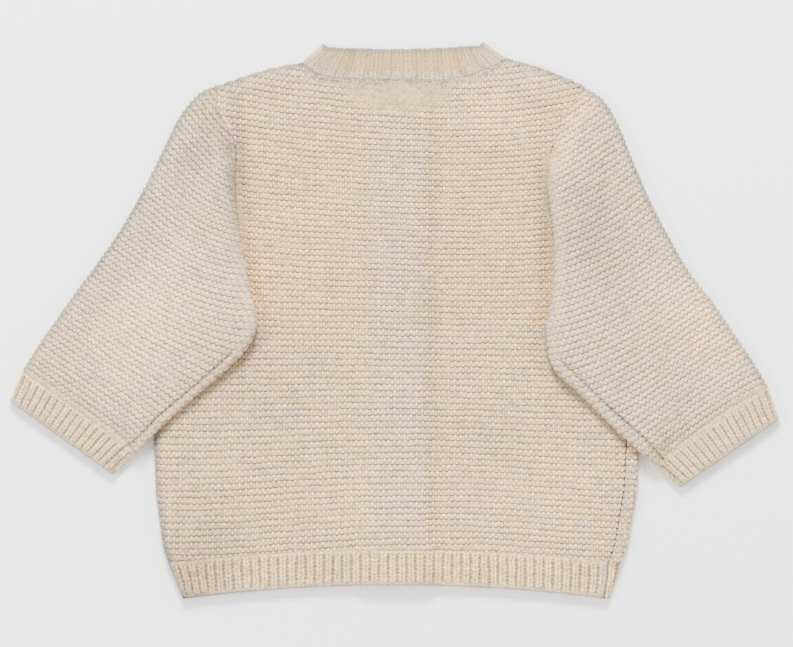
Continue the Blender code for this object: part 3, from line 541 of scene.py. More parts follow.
def inside(loop, plan):
    """Whether plan points are inside a closed loop."""
    found = np.zeros(len(plan), bool)
    x, y = plan.T
    for (x0, y0), (x1, y1) in zip(loop, np.roll(loop, -1, axis=0)):
        if y0 != y1:
            found ^= ((y0 > y) != (y1 > y)) & (x < (x1 - x0) * (y - y0) / (y1 - y0) + x0)
    return found


def within(loop, plan):
    return plan[inside(loop, plan)]


def join_lines(lines, chosen):
    """A loop of lines that follow each other, where each starts, and the chosen ones' points."""
    loop = np.concatenate([line[:-1] for line in lines])
    starts = np.cumsum([0] + [len(line) - 1 for line in lines])
    picked = np.zeros(len(loop) + 1, bool)
    for k in np.flatnonzero(chosen):
        picked[starts[k]:starts[k + 1] + 1] = True
    picked[0] |= picked[-1]
    return loop, starts, picked[:-1]


def resample(line, step):
    """A line with points about one step apart, its corners kept only at its ends."""
    length = lengths(line)
    at = np.linspace(0, length[-1], max(int(round(length[-1] / step)), 1) + 1)
    return read_line(line, length, at)


def at_ridges(line, garter):
    """A line with points at every mesh row of the knit that it crosses, and at its ends."""
    dense = resample(line, 0.0002)
    rows = garter.ridges(*dense.T) * RIM_ROWS
    turn = 1 if rows[-1] > rows[0] else -1
    dense, order = dense[::turn], np.maximum.accumulate(rows[::turn])
    at = np.arange(np.ceil(order[0] + 0.3), order[-1] - 0.3)
    return np.concatenate([dense[:1], read_line(dense, order, at), dense[-1:]])[::turn]


def spread(loop, step):
    """Plan points about a step apart inside a loop, in a triangular pattern."""
    low, high = loop.min(axis=0), loop.max(axis=0)
    x, y = np.meshgrid(np.arange(low[0], high[0], step), np.arange(low[1], high[1], step * 0.87))
    x = x + (np.arange(len(y)) % 2)[:, None] * step / 2
    return within(loop, np.stack([x.ravel(), y.ravel()], axis=1))


def inset(line, depth, step):
    """A line moved to its left, which is into the loop that it goes round."""
    row = resample(line, step)
    return row + depth * ways(row)[1]


def rounded(distance, radius):
    """Share of full height at a distance from a round edge."""
    t = 1 - np.clip(distance / radius, 0, 1)
    return np.sqrt(np.maximum(1 - t * t, 0))


def raise_knit(plan, height, relief, near, radius, facing):
    """Points of an outer side: its relief stands up or down, and sideways near a round edge."""
    distance, out, _ = near
    lean = np.clip(1 - distance / radius, 0, 1)
    side = plan + out * (lean * relief)[:, None]
    return np.column_stack([side, height + facing * (np.sqrt(1 - lean * lean) * relief)])


def scallops(garter, loop):
    """How far an edge across the rows bulges out at each ridge."""
    bulge = np.abs(np.cos(pi * garter.ridges(*loop.T))) ** 0.6 - 0.75
    return bulge * EDGE_SCALLOP * (1 + 0.4 * soft_noise(*loop.T, 0.006, 31))


def soft_marks(x, y, marks):
    """Sum of soft oval marks: x, y, direction in degrees, half length, half width, strength."""
    total = np.zeros(x.shape)
    for mark_x, mark_y, angle, length, width, strength in marks:
        c, s = np.cos(np.radians(angle)), np.sin(np.radians(angle))
        dx, dy = x - mark_x, y - mark_y
        total += strength * np.exp(-((dx * c + dy * s) / length) ** 2 - ((dy * c - dx * s) / width) ** 2)
    return total


def undulation(x, y):
    """Broad, low unevenness of cloth laid by hand."""
    return 0.0004 * (1 + soft_noise(x, y, 0.034, 21)) + 0.0002 * (1 + soft_noise(x, y, 0.015, 22))


def panel(node, edges, levels, facing=1.0, open_edge=None, tint=None):
    """A flat garter panel: a knitted outer side and a plain inner side that share their rim.

    edges are lines in turn round the panel, anticlockwise, each with its radius; levels gives
    the height of its underside; facing is 1 for the back, whose outer side is on top, and -1
    for a front. The edge numbered open_edge keeps its two sides apart, for cloth that goes on
    from there: then the unfinished shell comes back, with what the next stretch joins.
    """
    lines = [(at_ridges(line, BODY) if along == "rows" else resample(line, RIM_STEP), radius)
             for line, radius, along in edges]
    edge = Edge(lines)
    loop, _, split = join_lines([line for line, _ in lines], [k == open_edge for k in range(len(lines))])

    def knitted(plan):
        relief = BODY.relief(*plan.T) * RIDGE_DEPTH
        if facing < 0:
            return np.minimum(relief, 0.0)
        return (relief + RIDGE_CREST) * (1 - FLAT_CALM * calm_back(plan))

    plain = spread(loop, COARSE)
    if facing > 0:
        points = BODY.lattice(loop)
        points = np.concatenate([points[~under_sleeves(points)], plain[under_sleeves(plain)]])
    else:
        points = spread(loop, 0.0018)
    points = points[edge.distance(points) > 2 * RING_INSET]
    ring = within(loop, np.concatenate([inset(line, RING_INSET, RIM_STEP)[:-1] for line, _ in lines]))
    ring = ring[np.abs(edge.distance(ring) - RING_INSET) < 0.0001]
    points = np.concatenate([points, ring])
    plain = plain[edge.distance(plain) > 0.0015]

    shell = Shell()
    near = edge.near(points)
    height = levels(*points.T) + CLOTH / 2 + facing * rounded(near[0], near[2]) * CLOTH / 2
    if facing > 0:
        lie = undulation(*points.T) + soft_marks(*points.T, BACK_CREASES)
        height = height + ease(near[0] / 0.012) * lie
    raised = raise_knit(points, height, knitted(points), near, near[2], facing)
    outer = shell.add(raised, BODY.knit(points))
    inner = shell.add(np.column_stack([plain, levels(*plain.T) + (1 - facing) / 2 * CLOTH]), (0, 0))
    _, out, radius = edge.near(loop)
    loose = radius > 2 * SEAM_ROUND
    rim = np.column_stack([loop + out * (scallops(BODY, loop) * loose)[:, None],
                           levels(*loop.T) + CLOTH / 2])
    rim[~loose, 2] += facing * (CLOTH / 2 + knitted(loop)[~loose])
    rims = [np.where(split[:, None], np.column_stack([loop, rim[:, 2] + way * CLOTH / 2]), rim)
            for way in (facing, -facing)]
    knit = BODY.knit(loop)
    outer_ids = shell.add(rims[0], knit)
    inner_ids = outer_ids.copy()
    inner_ids[split] = shell.add(rims[1][split], knit[split])
    shell.skin(outer_ids, loop, outer, points)
    shell.skin(inner_ids, loop, inner, plain)
    if open_edge is None:
        return shell.build("knit_" + node, GARTER_YARN, "garter_knit", node, tint)
    return shell, outer_ids, inner_ids, loop, split


def wall(node, middle, outward, w, q, relief, closed=False, ends=(0.45, 0.9), tint=None):
    """A ribbed wall of cloth round its middle surface, with its knit raised outside.

    ends gives the share of its thickness at its free end and at the end that is joined on.
    """
    rows, columns = middle.shape[:2]
    share = np.ones((rows, columns))
    share[0], share[-1] = ends
    if not closed:
        share[1:-1, 0] = share[1:-1, -1] = 0.45
    reach = share * CLOTH / 2
    shell = Shell()
    knit = np.stack([w, q], axis=-1).reshape(-1, 2)
    sides = [shell.add(middle + outward * height[..., None], knit).reshape(rows, columns)
             for height in (reach + relief * (share == 1), -reach)]
    for ids in sides:
        shell.grid(ids, closed)
    for k in (0, -1):
        shell.grid(np.stack([ids[k] for ids in sides]), closed)
        if not closed:
            shell.grid(np.stack([ids[:, k] for ids in sides]))
    both = None if tint is None else lambda points: np.tile(tint.reshape(-1, 4), (2, 1))
    return shell.build("rib_" + node, RIB_YARN, "rib_knit", node, both)


def flat_wall(x, y, level, up=1.0):
    """Middle surface and outward directions of a wall that lies flat."""
    middle = np.stack([x, y, level + CLOTH / 2], axis=-1)
    return middle, np.zeros_like(middle) + (0.0, 0.0, up)


def rib_relief(w, q, groove=0.30, legs=0.08):
    """Height of 1x1 rib from 0 on a crest to -1 in a valley: w counts ribs, q their stitches."""
    a = w - np.round(w)
    band = 1 - (2 * np.abs(a)) ** 2.2
    legs = legs * np.cos(2 * pi * (q - 1.3 * np.abs(a)))
    return np.clip(band * (0.92 + legs) - groove * np.exp(-(a / 0.09) ** 2), 0, 1) - 1


def rib_fade(w, shares, joined):
    """1 on the rib, 0 past its uneven round tops."""
    number = np.round(w)
    lift = (np.sin(number * 2.4) + np.sin(number * 5.1 + 1.0)) * 0.014
    return ease((joined + lift - 0.06 * (2 * (w - number)) ** 2 - shares) / 0.04)


def rib_ends(relief, fade, shares, beyond=-0.22, foot=0.15):
    """Rib that flattens at its bound-off end and goes over into what is beyond its tops."""
    relief = -0.22 + (relief + 0.22) * (0.1 + 0.9 * ease(shares / foot))
    return relief * fade + beyond * (1 - fade)


def into_garter(relief, fade):
    """Relief in metres, from the depth of rib to that of garter stitch."""
    return relief * (RIB_DEPTH * fade + RIDGE_DEPTH * (1 - fade))


def crests(fade):
    return RIB_CREST * fade + RIDGE_CREST * (1 - fade)


def rib_tint_and_painted_shade(shares, fade, width=0.15, warm=0.0, cool=0.0, calm=0.0, dark=0.0):
    """Painted grey shade along the bound-off end, a fading pattern where the rib starts."""
    # painted shade where the bound-off end rolls down
    edge_shade = before(shares, 0.03, width)
    return np.stack([warm * (1 - edge_shade), np.maximum(cool, edge_shade), np.maximum(np.maximum(1 - fade, calm), edge_shade),
                     0.42 * edge_shade + dark + 0 * fade], axis=-1)


# ---------------------------------------------------------------- materials
class Value:
    """A number in a material's nodes, to calculate with."""

    def __init__(self, graph, socket):
        self.graph, self.socket = graph, socket

    def __add__(self, other):
        return self.graph.math("ADD", self, other)

    def __sub__(self, other):
        return self.graph.math("SUBTRACT", self, other)

    def __rsub__(self, other):
        return self.graph.math("SUBTRACT", other, self)

    def __mul__(self, other):
        return self.graph.math("MULTIPLY", self, other)

    def __truediv__(self, other):
        return self.graph.math("DIVIDE", self, other)

    def __pow__(self, other):
        return self.graph.math("POWER", self, other)

    def __abs__(self):
        return self.graph.math("ABSOLUTE", self)


class Graph:
    """Short ways to write a material's nodes."""

    def __init__(self, name, shader):
        self.material = bpy.data.materials.new(name)
        self.material.use_nodes = True
        self.tree = self.material.node_tree
        self.shader = self.tree.nodes["Principled BSDF"].inputs
        for key, value in shader.items():
            self.shader[key].default_value = value

    def link(self, value, socket):
        value = getattr(value, "socket", value)
        if isinstance(value, bpy.types.NodeSocket):
            self.tree.links.new(value, socket)
        else:
            socket.default_value = value

    def node(self, kind, inputs=(), output=0, **settings):
        """A new node's output; inputs are given by name, or in order."""
        node = self.tree.nodes.new(kind)
        for key, value in settings.items():
            setattr(node, key, value)
        for key, value in inputs.items() if isinstance(inputs, dict) else enumerate(inputs):
            self.link(value, node.inputs[key])
        return Value(self, node.outputs[output])

    def math(self, operation, *values):
        return self.node("ShaderNodeMath", values, operation=operation)

    def noise(self, vector, scale, detail=2.0, roughness=0.5):
        return self.node("ShaderNodeTexNoise", {"Vector": vector, "Scale": scale, "Detail": detail,
                                                "Roughness": roughness}, "Fac")

    def mix(self, factor, one, other, blend="MIX"):
        return self.node("ShaderNodeMix", {"Factor": factor, "A": one, "B": other}, "Result",
                         data_type="RGBA", blend_type=blend)

    def spread(self, value, low, high, new_low=0.0, new_high=1.0):
        return self.node("ShaderNodeMapRange", {"Value": value, "From Min": low, "From Max": high,
                                                "To Min": new_low, "To Max": new_high})

    def vector(self, x, y, z):
        return self.node("ShaderNodeCombineXYZ", (x, y, z))

    def split(self, vector):
        parts = self.tree.nodes.new("ShaderNodeSeparateXYZ")
        self.link(vector, parts.inputs[0])
        return [Value(self, part) for part in parts.outputs]

    def wrapped(self, value):
        """Distance of a value from its nearest whole number."""
        return abs(self.math("FRACT", value + 0.5) - 0.5)

    def wave(self, value, start):
        """A sine with a period of 1 that begins at a share of its turn."""
        return self.math("SINE", self.math("MULTIPLY_ADD", value, 2 * pi, 2 * pi * start))


YELLOW_YARN = (0.665, 0.455, 0.200, 1)
PINK_YARN = (0.665, 0.415, 0.265, 1)
GREY_YARN = (0.585, 0.440, 0.255, 1)
# warm: warmer yarn, and the colour of the painted shadow beside the sleeves; cool: greyer yarn, and the
# colour of painted shade at edges, folds and shadow cores
WARM_YARN_AND_PAINTED_SHADOW = (0.655, 0.415, 0.165, 1)
COOL_YARN_AND_PAINTED_SHADE = (0.584, 0.486, 0.354, 1)
CALM_YARN = (0.600, 0.410, 0.190, 1)
# colours of the painted shade in valleys between ridges and ribs
PAINTED_VALLEY_SHADE_BODY = (0.480, 0.440, 0.400, 1)
PAINTED_VALLEY_SHADE_GREY = (0.480, 0.415, 0.345, 1)
PAINTED_VALLEY_SHADE_ROSE = (0.540, 0.400, 0.270, 1)
PAINTED_VALLEY_SHADE_RIB = (0.560, 0.430, 0.190, 1)
BUTTON_SHADE = (0.560, 0.440, 0.280, 1)
BUTTON_LIGHT = (0.640, 0.520, 0.350, 1)


def knit_material(name, ribbed):
    """Yarn in garter stitch or rib: painted shade in the valleys and grooves, painted light and shade on the
    loops, plied strands and fibres in the bump.
    """
    g = Graph(name, {"Roughness": 0.95, "Specular IOR Level": 0.10, "Sheen Weight": 0.08,
                     "Sheen Roughness": 0.6})
    u, v, _ = g.split(g.node("ShaderNodeUVMap", uv_map="knit"))
    place = g.node("ShaderNodeTexCoord", output="Object")
    tint = g.tree.nodes.new("ShaderNodeAttribute")
    tint.attribute_name = "tint"
    warm, cool, calm = g.split(tint.outputs["Color"])
    # the tint's alpha darkens: painted shade and shadow, seam lines and darker yarn
    painted_shade_seams_and_tone = Value(g, tint.outputs["Alpha"])
    u = u + (g.noise(place, 420.0, 1.0) * 0.24 - 0.12)
    # valley paints shade between ridges and ribs; blobs and ticks paint light and shade on loops and crests;
    # spots paint shadow under loops and in grooves
    if ribbed:
        off = g.wrapped(u)
        valley = (off * 2.0) ** 2.8
        blobs = g.wave(v - off * 1.3, 0.0) * 0.45
        dashes = g.wave(v, 0.25) * 0.5 + 0.5
        spots = (1.0 - off) ** 12.0 * 0.55 + (off * 2.0) ** 6.0 * (dashes * 0.35 + 0.05)
        ticks = g.math("MAXIMUM", 1.0 - abs(off - 0.19) / 0.13, 0.0) * 0.50 - 0.08
        strand = g.wave(v * 3.0 + off * 6.0, 0.0)
    else:
        turn = g.wave(u, 0.25)
        across = v - turn * WAVE
        off = g.wrapped(across)
        valley = (off * 2.0) ** 9.0
        blobs = turn * g.wave(v, 0.0)
        spots = (off * 2.0) ** 4.0 * (0.5 - turn * 0.5) ** 2.0
        ticks = g.wave(u * 2.0, 0.25) * 0.24
        strand = g.wave(u * 4.0 + across * 3.0, 0.0)
    plain = 1.0 - calm * (0.9 if ribbed else 0.8)
    fibres = g.noise(place, 2600.0, 3.0, 0.6)
    height = (1.0 - valley + blobs * 0.25) * plain + (strand * 0.08 + fibres * 0.35)
    g.link(g.node("ShaderNodeBump", {"Strength": 0.7, "Distance": 0.0006, "Height": height}),
           g.shader["Normal"])

    run = g.vector(u * 0.20, v * 0.8, 3.0)
    mixed = g.noise(place, 60.0, 3.0) * 0.65 + g.noise(run, 0.6, 2.0) * 0.35
    base = g.mix(g.spread(mixed, 0.38, 0.52), GREY_YARN, YELLOW_YARN)
    base = g.mix(g.spread(mixed, 0.50, 0.64), base, PINK_YARN)
    # the tint's warm and cool mix in painted shadow and shade colours, and the yarn's own warmer and greyer
    # places
    base = g.mix(warm, base, WARM_YARN_AND_PAINTED_SHADOW)
    base = g.mix(cool, base, COOL_YARN_AND_PAINTED_SHADE)
    if ribbed:
        valley_shade_colour = g.mix(g.spread(g.noise(place, 110.0, 2.0), 0.40, 0.60), PAINTED_VALLEY_SHADE_RIB, PAINTED_VALLEY_SHADE_ROSE)
    else:
        base = g.mix(calm * 0.6, base, CALM_YARN)
        valley_shade_colour = g.mix(cool * 3.0, PAINTED_VALLEY_SHADE_BODY, PAINTED_VALLEY_SHADE_GREY)
    # painted shade colour in the valleys
    base = g.mix(valley * 0.90, base, valley_shade_colour)
    tone = g.spread(g.noise(g.vector(u, v * 2.0, 5.0), 0.9, 2.0), 0.25, 0.75, 0.72, 1.28)
    grain = g.spread(g.noise(place, 1050.0, 2.0), 0.3, 0.7, 0.58, 1.42)
    broad = g.spread(g.noise(place, 14.0, 2.0), 0.3, 0.7, 0.95, 1.05)
    # shade: painted shade in valleys and spots, painted light and shade on loops and crests
    if ribbed:
        dark = valley * -0.42 + spots * -0.62
        red, green, blue, green_power, blue_power = 1.06, 1.00, 0.98, 0.93, 0.84
    else:
        dark = valley * (cool * -0.30 - 0.26) + spots * -0.56
        red, green, blue, green_power, blue_power = 0.96, 0.91, 0.92, 0.83, 0.62
    shade = (dark + (blobs * 0.34 + ticks)) * plain + 1.0
    level = tone * broad * grain * shade * (1.0 - painted_shade_seams_and_tone * 0.75)
    level = g.math("MAXIMUM", level, 0.05)
    # per-channel powers make the painted shade greyer as it deepens
    toned = g.vector(level * red, level ** green_power * green, level ** blue_power * blue)
    g.link(g.mix(1.0, base, toned, "MULTIPLY"), g.shader["Base Color"])
    return g.material


def button_material():
    """Smooth cream, with a faint cloudy grain."""
    g = Graph("button_cream", {"Roughness": 0.38})
    cloud = g.noise(g.node("ShaderNodeTexCoord", output="Object"), 240.0, 3.0)
    g.link(g.mix(g.spread(cloud, 0.35, 0.65), BUTTON_SHADE, BUTTON_LIGHT), g.shader["Base Color"])
    return g.material


GARTER_YARN = knit_material("garter_yarn", False)
RIB_YARN = knit_material("rib_yarn", True)
BUTTON_CREAM = button_material()


# ---------------------------------------------------------------- body panels
BODY = Garter(BODY_FIELD)
ARM = [Garter(SLEEVE_FIELD[side]) for side in (LEFT, RIGHT)]

def sleeve_outline(side, count=300):
    """Outer and inner folds of a sleeve, from shoulder to cuff."""
    rows = smooth_rows(SLEEVE[side], np.linspace(0, 1, count))
    return rows[:, :2], rows[:, 2:]


def from_inner_folds(plan):
    return distance_to([sleeve_outline(side, 80)[1] for side in (LEFT, RIGHT)], plan)


def under_sleeves(plan):
    """Whether points of the back are well under a sleeve."""
    hidden = np.zeros(len(plan), bool)
    for side in (LEFT, RIGHT):
        outer, inner = sleeve_outline(side, 80)
        below = np.flatnonzero(inside(np.concatenate([outer, inner[::-1]]), plan))
        hidden[below] |= distance_to([inner, outer], plan[below]) > 0.004
    return hidden

def back_tint_and_painted_shade(points):
    """Warmer towards the sleeves, as a painted warm shadow beside their folds; painted grey shade down the
    middle, round the edges and where the folds lie; and the painted shading marks.
    """
    plan = points[:, :2]
    x, y = plan.T
    near = from_inner_folds(plan)
    low = ease((0.004 - y) / 0.012)
    high = before(y, 0.085, 0.035)
    # folded: where the sleeves' folds lie on the back, which gets painted shade
    folded = np.exp(-((y - 0.080) / 0.050) ** 4) * before(near, 0.0010, 0.0045)
    # warm: painted warm shadow beside the sleeves' inner folds, then warmer yarn in two broad places
    warm = 0.38 * np.exp(-near / 0.008) * before(y, 0.045, 0.030) + 0.45 * np.exp(-near / 0.030) * high
    warm = warm * (1 - 0.6 * folded)
    warm = warm + 0.25 * ease((0.135 - y) / 0.03) * ease((y + 0.06) / 0.03) * ease(near / 0.012 + high)
    warm = warm + 0.25 * np.exp(-((x + 0.080) / 0.05) ** 2 - ((y + 0.130) / 0.03) ** 2)
    away = distance_to([shoulder_line(LEFT, 30), shoulder_line(RIGHT, 30),
                        line_at_edge(HEM_JOIN, -0.06, body_edge, LEFT)], plan)
    # painted grey shade round the shoulders and the left side
    edge_shade = before(away, 0.0010, 0.0042)
    # strip: painted grey shade down the middle, over the button bands
    strip = 0.25 * ease((0.020 - np.abs(x - BAND_MIDDLE)) / 0.008) * ease((0.135 - y) / 0.03)
    calm = calm_below_neck(x, y)
    neck = smooth_rows(NECK_BACK, np.linspace(0, 1, 100))[:, :2]
    joined = before(distance_to([neck], plan), 0.0030, 0.0030)
    speckled = joined * soft_noise(x, y, 0.0009, 61)
    # painted shadow on the back below the sleeves' inner folds
    shadow = (0.18 * np.exp(-near / 0.0030) + 0.38 * np.exp(-near / 0.008)) * low * high
    # dark: painted shading marks, painted edge shade, the painted shadow and painted shade where the folds
    # lie
    dark = soft_marks(x, y, BACK_PAINTED_SHADING) + 0.66 * edge_shade + shadow + 0.16 * calm + 0.20 * joined
    dark = dark + 0.15 * strip + 0.20 * folded
    ends = joined * past(np.abs(x - 0.0060), 0.040, 0.010) * (x < 0.0060)
    dark = np.minimum(dark + 0.35 * speckled + 0.22 * ends, 0.90)
    sewn = np.exp(-((y - hem_seam(x)) / 0.0005) ** 2) * (1 - edge_shade)
    dark = dark + sewn * (0.45 + 0.5 * soft_noise(x, y, 0.0015, 63))
    warm = np.clip(warm * (1 - strip) * (1 - 0.75 * low) + 0.85 * calm * (1 - joined), 0, 1) * (1 - edge_shade)
    cool = np.maximum(np.maximum(strip, edge_shade), 0.55 * joined + 0.40 * ends)
    # greyer colour in the core of the painted shadow
    cool = np.maximum(cool, 0.5 * np.exp(-near / 0.004) * low)
    beside_seam = np.exp(-((right_seam(y) - x) / 0.0014) ** 2) * low
    cool = np.maximum(cool, 0.8 * beside_seam)
    calm = np.maximum(np.maximum(calm, 0.7 * edge_shade), 0.7 * pressed(y, near))
    return np.column_stack([warm, cool, calm, dark])


def pressed(y, near):
    """Where the sleeves' folds lie against the back: near is the distance to them."""
    along = np.maximum(np.exp(-((y - 0.080) / 0.050) ** 4), 0.8 * ease((0.004 - y) / 0.012))
    return along * before(near, 0.0010, 0.0045)


def calm_below_neck(x, y):
    """Where the ridges are flatter: a shallow bowl below the neck, and along the neck itself."""
    across = np.abs(x - 0.0020) / 0.0390
    low_edge = 0.1455 - 0.0230 * np.sqrt(np.clip(1 - across**2, 0, 1))
    bowl = ease((y - low_edge + 0.002) / 0.009) * ease((1.0 - across) / 0.35)
    curve = smooth_rows(NECK_BACK, np.linspace(0, 1, 100))
    below = np.interp(x, curve[:, 0], curve[:, 1]) - y
    beside = ease((x - curve[0, 0] + 0.002) / 0.004) * ease((curve[-1, 0] + 0.002 - x) / 0.004)
    return np.maximum(bowl, 0.85 * beside * before(below, 0.0030, 0.0040))


def calm_back(plan):
    """Below the neck, and where the sleeves' tucked folds press the ridges flat."""
    return np.maximum(calm_below_neck(*plan.T), 0.65 * pressed(plan[:, 1], from_inner_folds(plan)))


def line_at_edge(low, high, edge_x, side=None):
    ys = np.linspace(low, high, 400)
    xs = edge_x(ys) if side is None else edge_x(ys, side)
    return np.column_stack([xs, ys])


def across_hem(x_from, x_to):
    xs = np.linspace(x_from, x_to, 300)
    return np.column_stack([xs, hem_seam(xs) + SEAM_GAP / 2])


def make_back():
    left_x, right_x = float(body_edge(HEM_JOIN, LEFT)), float(right_seam(np.array(HEM_JOIN)))
    bottom = across_hem(left_x, right_x)
    right = line_at_edge(bottom[-1, 1], SHOULDER, right_seam)
    left = line_at_edge(bottom[0, 1], SHOULDER, body_edge, LEFT)[::-1]
    curve = smooth_rows(NECK_BACK, np.linspace(0, 1, 200))[:, :2] - (0.0, SEAM_GAP)
    shoulder_right, shoulder_left = shoulder_line(RIGHT, 60), shoulder_line(LEFT, 60)
    top = np.concatenate([shoulder_right[-1:], curve[::-1], shoulder_left[-1:]])
    right[-1], left[0] = shoulder_right[0], shoulder_left[0]
    high_right, high_left = right[:, 1] >= ARMHOLE_FLUSH, left[:, 1] >= ARMHOLE_FLUSH
    left_foot = np.concatenate([left[high_left][-1:], left[~high_left]])
    edges = [(bottom, SEAM_ROUND, "step"),
             (np.concatenate([right[~high_right], right[high_right][:1]]), SIDE_ROUND, "rows"),
             (right[high_right], SEAM_ROUND, "rows"),
             (shoulder_right, EDGE_ROUND, "step"), (top, SEAM_ROUND, "step"),
             (shoulder_left[::-1], EDGE_ROUND, "step"), (left[high_left], SEAM_ROUND, "rows"),
             (left_foot, EDGE_ROUND, "rows")]
    return panel("back", edges, back_level, tint=back_tint_and_painted_shade)


def neck_front_curve(side):
    curve = smooth_rows(NECK_FRONT[side], np.linspace(0, 1, 120))[:, :2]
    return curve + (OUTWARD[side] * NECK_GAP, -NECK_GAP)


def band_edge(side):
    return BAND_MIDDLE + OUTWARD[side] * (BAND_HALF + GAP)


def make_front(side):
    """A front, its knitted side down; the right one goes on round the side edge to the back."""
    inner_x = band_edge(side)
    curve = neck_front_curve(side)
    keep = curve[:, 0] * OUTWARD[side] > inner_x * OUTWARD[side]
    curve = curve[keep]
    band_line = np.array([(inner_x, float(hem_seam(np.array(inner_x))) + GAP / 2),
                          (inner_x, curve[-1, 1])])
    neck = np.concatenate([band_line[-1:], curve[::-1], [neck_corner(side)]])
    shoulder = shoulder_line(side, 60)
    if side == LEFT:
        bottom = across_hem(float(body_edge(HEM_JOIN, LEFT)), inner_x)
        left = line_at_edge(bottom[0, 1], SHOULDER, body_edge, LEFT)[::-1]
        left[0] = shoulder[0]
        edges = [(bottom, SEAM_ROUND, "step"), (band_line, SEAM_ROUND, "step"),
                 (neck, SEAM_ROUND, "step"), (shoulder[::-1], EDGE_ROUND, "step"),
                 (left, EDGE_ROUND, "rows")]
        return panel("front_left", edges, lambda x, y: front_level(x, LEFT), facing=-1.0)

    def fold(y):
        return body_edge(y, RIGHT) - TURN - TURN_APPROACH
    bottom = across_hem(inner_x, float(fold(HEM_JOIN)))
    side_line = line_at_edge(bottom[-1, 1], SHOULDER, fold)
    shoulder = np.concatenate([side_line[-1:], shoulder[shoulder[:, 0] < side_line[-1, 0]]])
    edges = [(bottom, SEAM_ROUND, "step"), (side_line, EDGE_ROUND, "rows"),
             (shoulder, EDGE_ROUND, "step"), (neck[::-1], SEAM_ROUND, "step"),
             (band_line[::-1], SEAM_ROUND, "step")]
    return add_turned_edge(*panel("front_right", edges, lambda x, y: front_level(x, RIGHT),
                                  facing=-1.0, open_edge=1))


def add_turned_edge(shell, outer_ids, inner_ids, loop, split):
    """The right front's edge, turned up on to the back's side and knitted all round."""
    rows = np.flatnonzero(split)
    y = loop[rows, 1]
    x, z, out_x, out_z = [part[:, 1:] for part in turned_edge(y, 14)]
    yy = np.repeat(y[:, None], x.shape[1], axis=1)
    middle = np.stack([x, yy, z], axis=-1)
    outward = np.stack([out_x, np.zeros_like(x), out_z], axis=-1)
    relief = np.minimum(BODY.relief(x, yy), 0.0) * RIDGE_DEPTH + RIDGE_CREST * np.clip(out_z, 0, 1)
    knit = np.stack(BODY.coordinates(x, yy), axis=-1)
    outer = middle + outward * (CLOTH / 2 + relief)[..., None]
    inner = middle - outward * CLOTH / 2
    outer[:, -1] = middle[:, -1]
    new_outer = shell.add(outer, knit.reshape(-1, 2)).reshape(len(y), -1)
    new_inner = shell.add(inner[:, :-1], knit[:, :-1].reshape(-1, 2)).reshape(len(y), -1)
    grids = (np.concatenate([outer_ids[rows][:, None], new_outer], axis=1),
             np.concatenate([inner_ids[rows][:, None], new_inner, new_outer[:, -1:]], axis=1))
    for grid in grids:
        shell.grid(grid)
    for k, beside in ((0, rows[0] - 1), (-1, (rows[-1] + 1) % len(outer_ids))):
        shell.strip(*[np.concatenate([[outer_ids[beside]], grid[k]]) for grid in grids])

    def tint(points):
        # painted grey shade on the turned-up edge
        turned = past(points[:, 2], LAYER, 0.001)
        return np.outer(turned, (0.0, 0.25, 0.0, 0.05))
    return shell.build("knit_front_right", GARTER_YARN, "garter_knit", "front_right", tint)


# ---------------------------------------------------------------- sleeves
def underarm(side):
    """The seam that closes a sleeve, on its top a little inside the lower fold."""
    return resample(np.array(UNDERARM_SEAM[side]), 0.0008)


def sleeve_tint_and_painted_shade(side):
    """Painted grey shade round the outer fold and on the inner fold's roll, the painted shading marks,
    greyer yarn and a darker underarm seam.
    """
    outer, inner = sleeve_outline(side, 80)
    heights = np.linspace(SLEEVE[side][0, 3], SLEEVE[side][0, 1], 20)
    armhole = np.column_stack([body_edge(heights, side), heights])

    def tint(points):
        plan = points[:, :2]
        from_inner = distance_to([inner], plan)
        dots = 0.65 + 0.35 * np.cos(2 * pi * (plan[:, 0] + plan[:, 1]) / 0.0031)
        drawn = np.exp(-(distance_to([underarm(side)], plan, 0.0004) / 0.0007) ** 2) * dots
        drawn = drawn * (points[:, 2] > TURN)
        # painted grey shade along the outer fold, where the cloth turns down
        edge_shade = before(distance_to([outer], plan), 0.0009, 0.0042)
        from_body = ease(distance_to([armhole], plan) / 0.022)
        # rolled: painted grey shade on the inner fold's roll
        rolled = before(from_inner, 0.002, 0.007)
        cool = (0.34 + 0.2 * soft_noise(*plan.T, 0.03, 41)) * from_body
        cool = np.maximum(cool, np.maximum(edge_shade, 0.6 * rolled * from_body))
        at_cuff = before(distance_to([SLEEVE[side][-1].reshape(2, 2)], plan), 0.001, 0.005)
        calm = np.maximum(np.maximum(0.7 * edge_shade, 0.55 * at_cuff), 0.45 * rolled)
        # painted shade in the dark band along the inner fold near the armhole
        folded = np.exp(-((plan[:, 1] - 0.080) / 0.045) ** 4 - (from_inner / 0.0045) ** 2)
        # dark: the seam line, painted shade and light, and a little darker yarn
        dark = 1.2 * drawn + 0.62 * edge_shade + 0.07 + 0.24 * folded + soft_marks(*plan.T, SLEEVE_PAINTED_SHADING[side])
        return np.column_stack([0 * cool, cool * (1 - 0.5 * folded), calm, dark])
    return tint


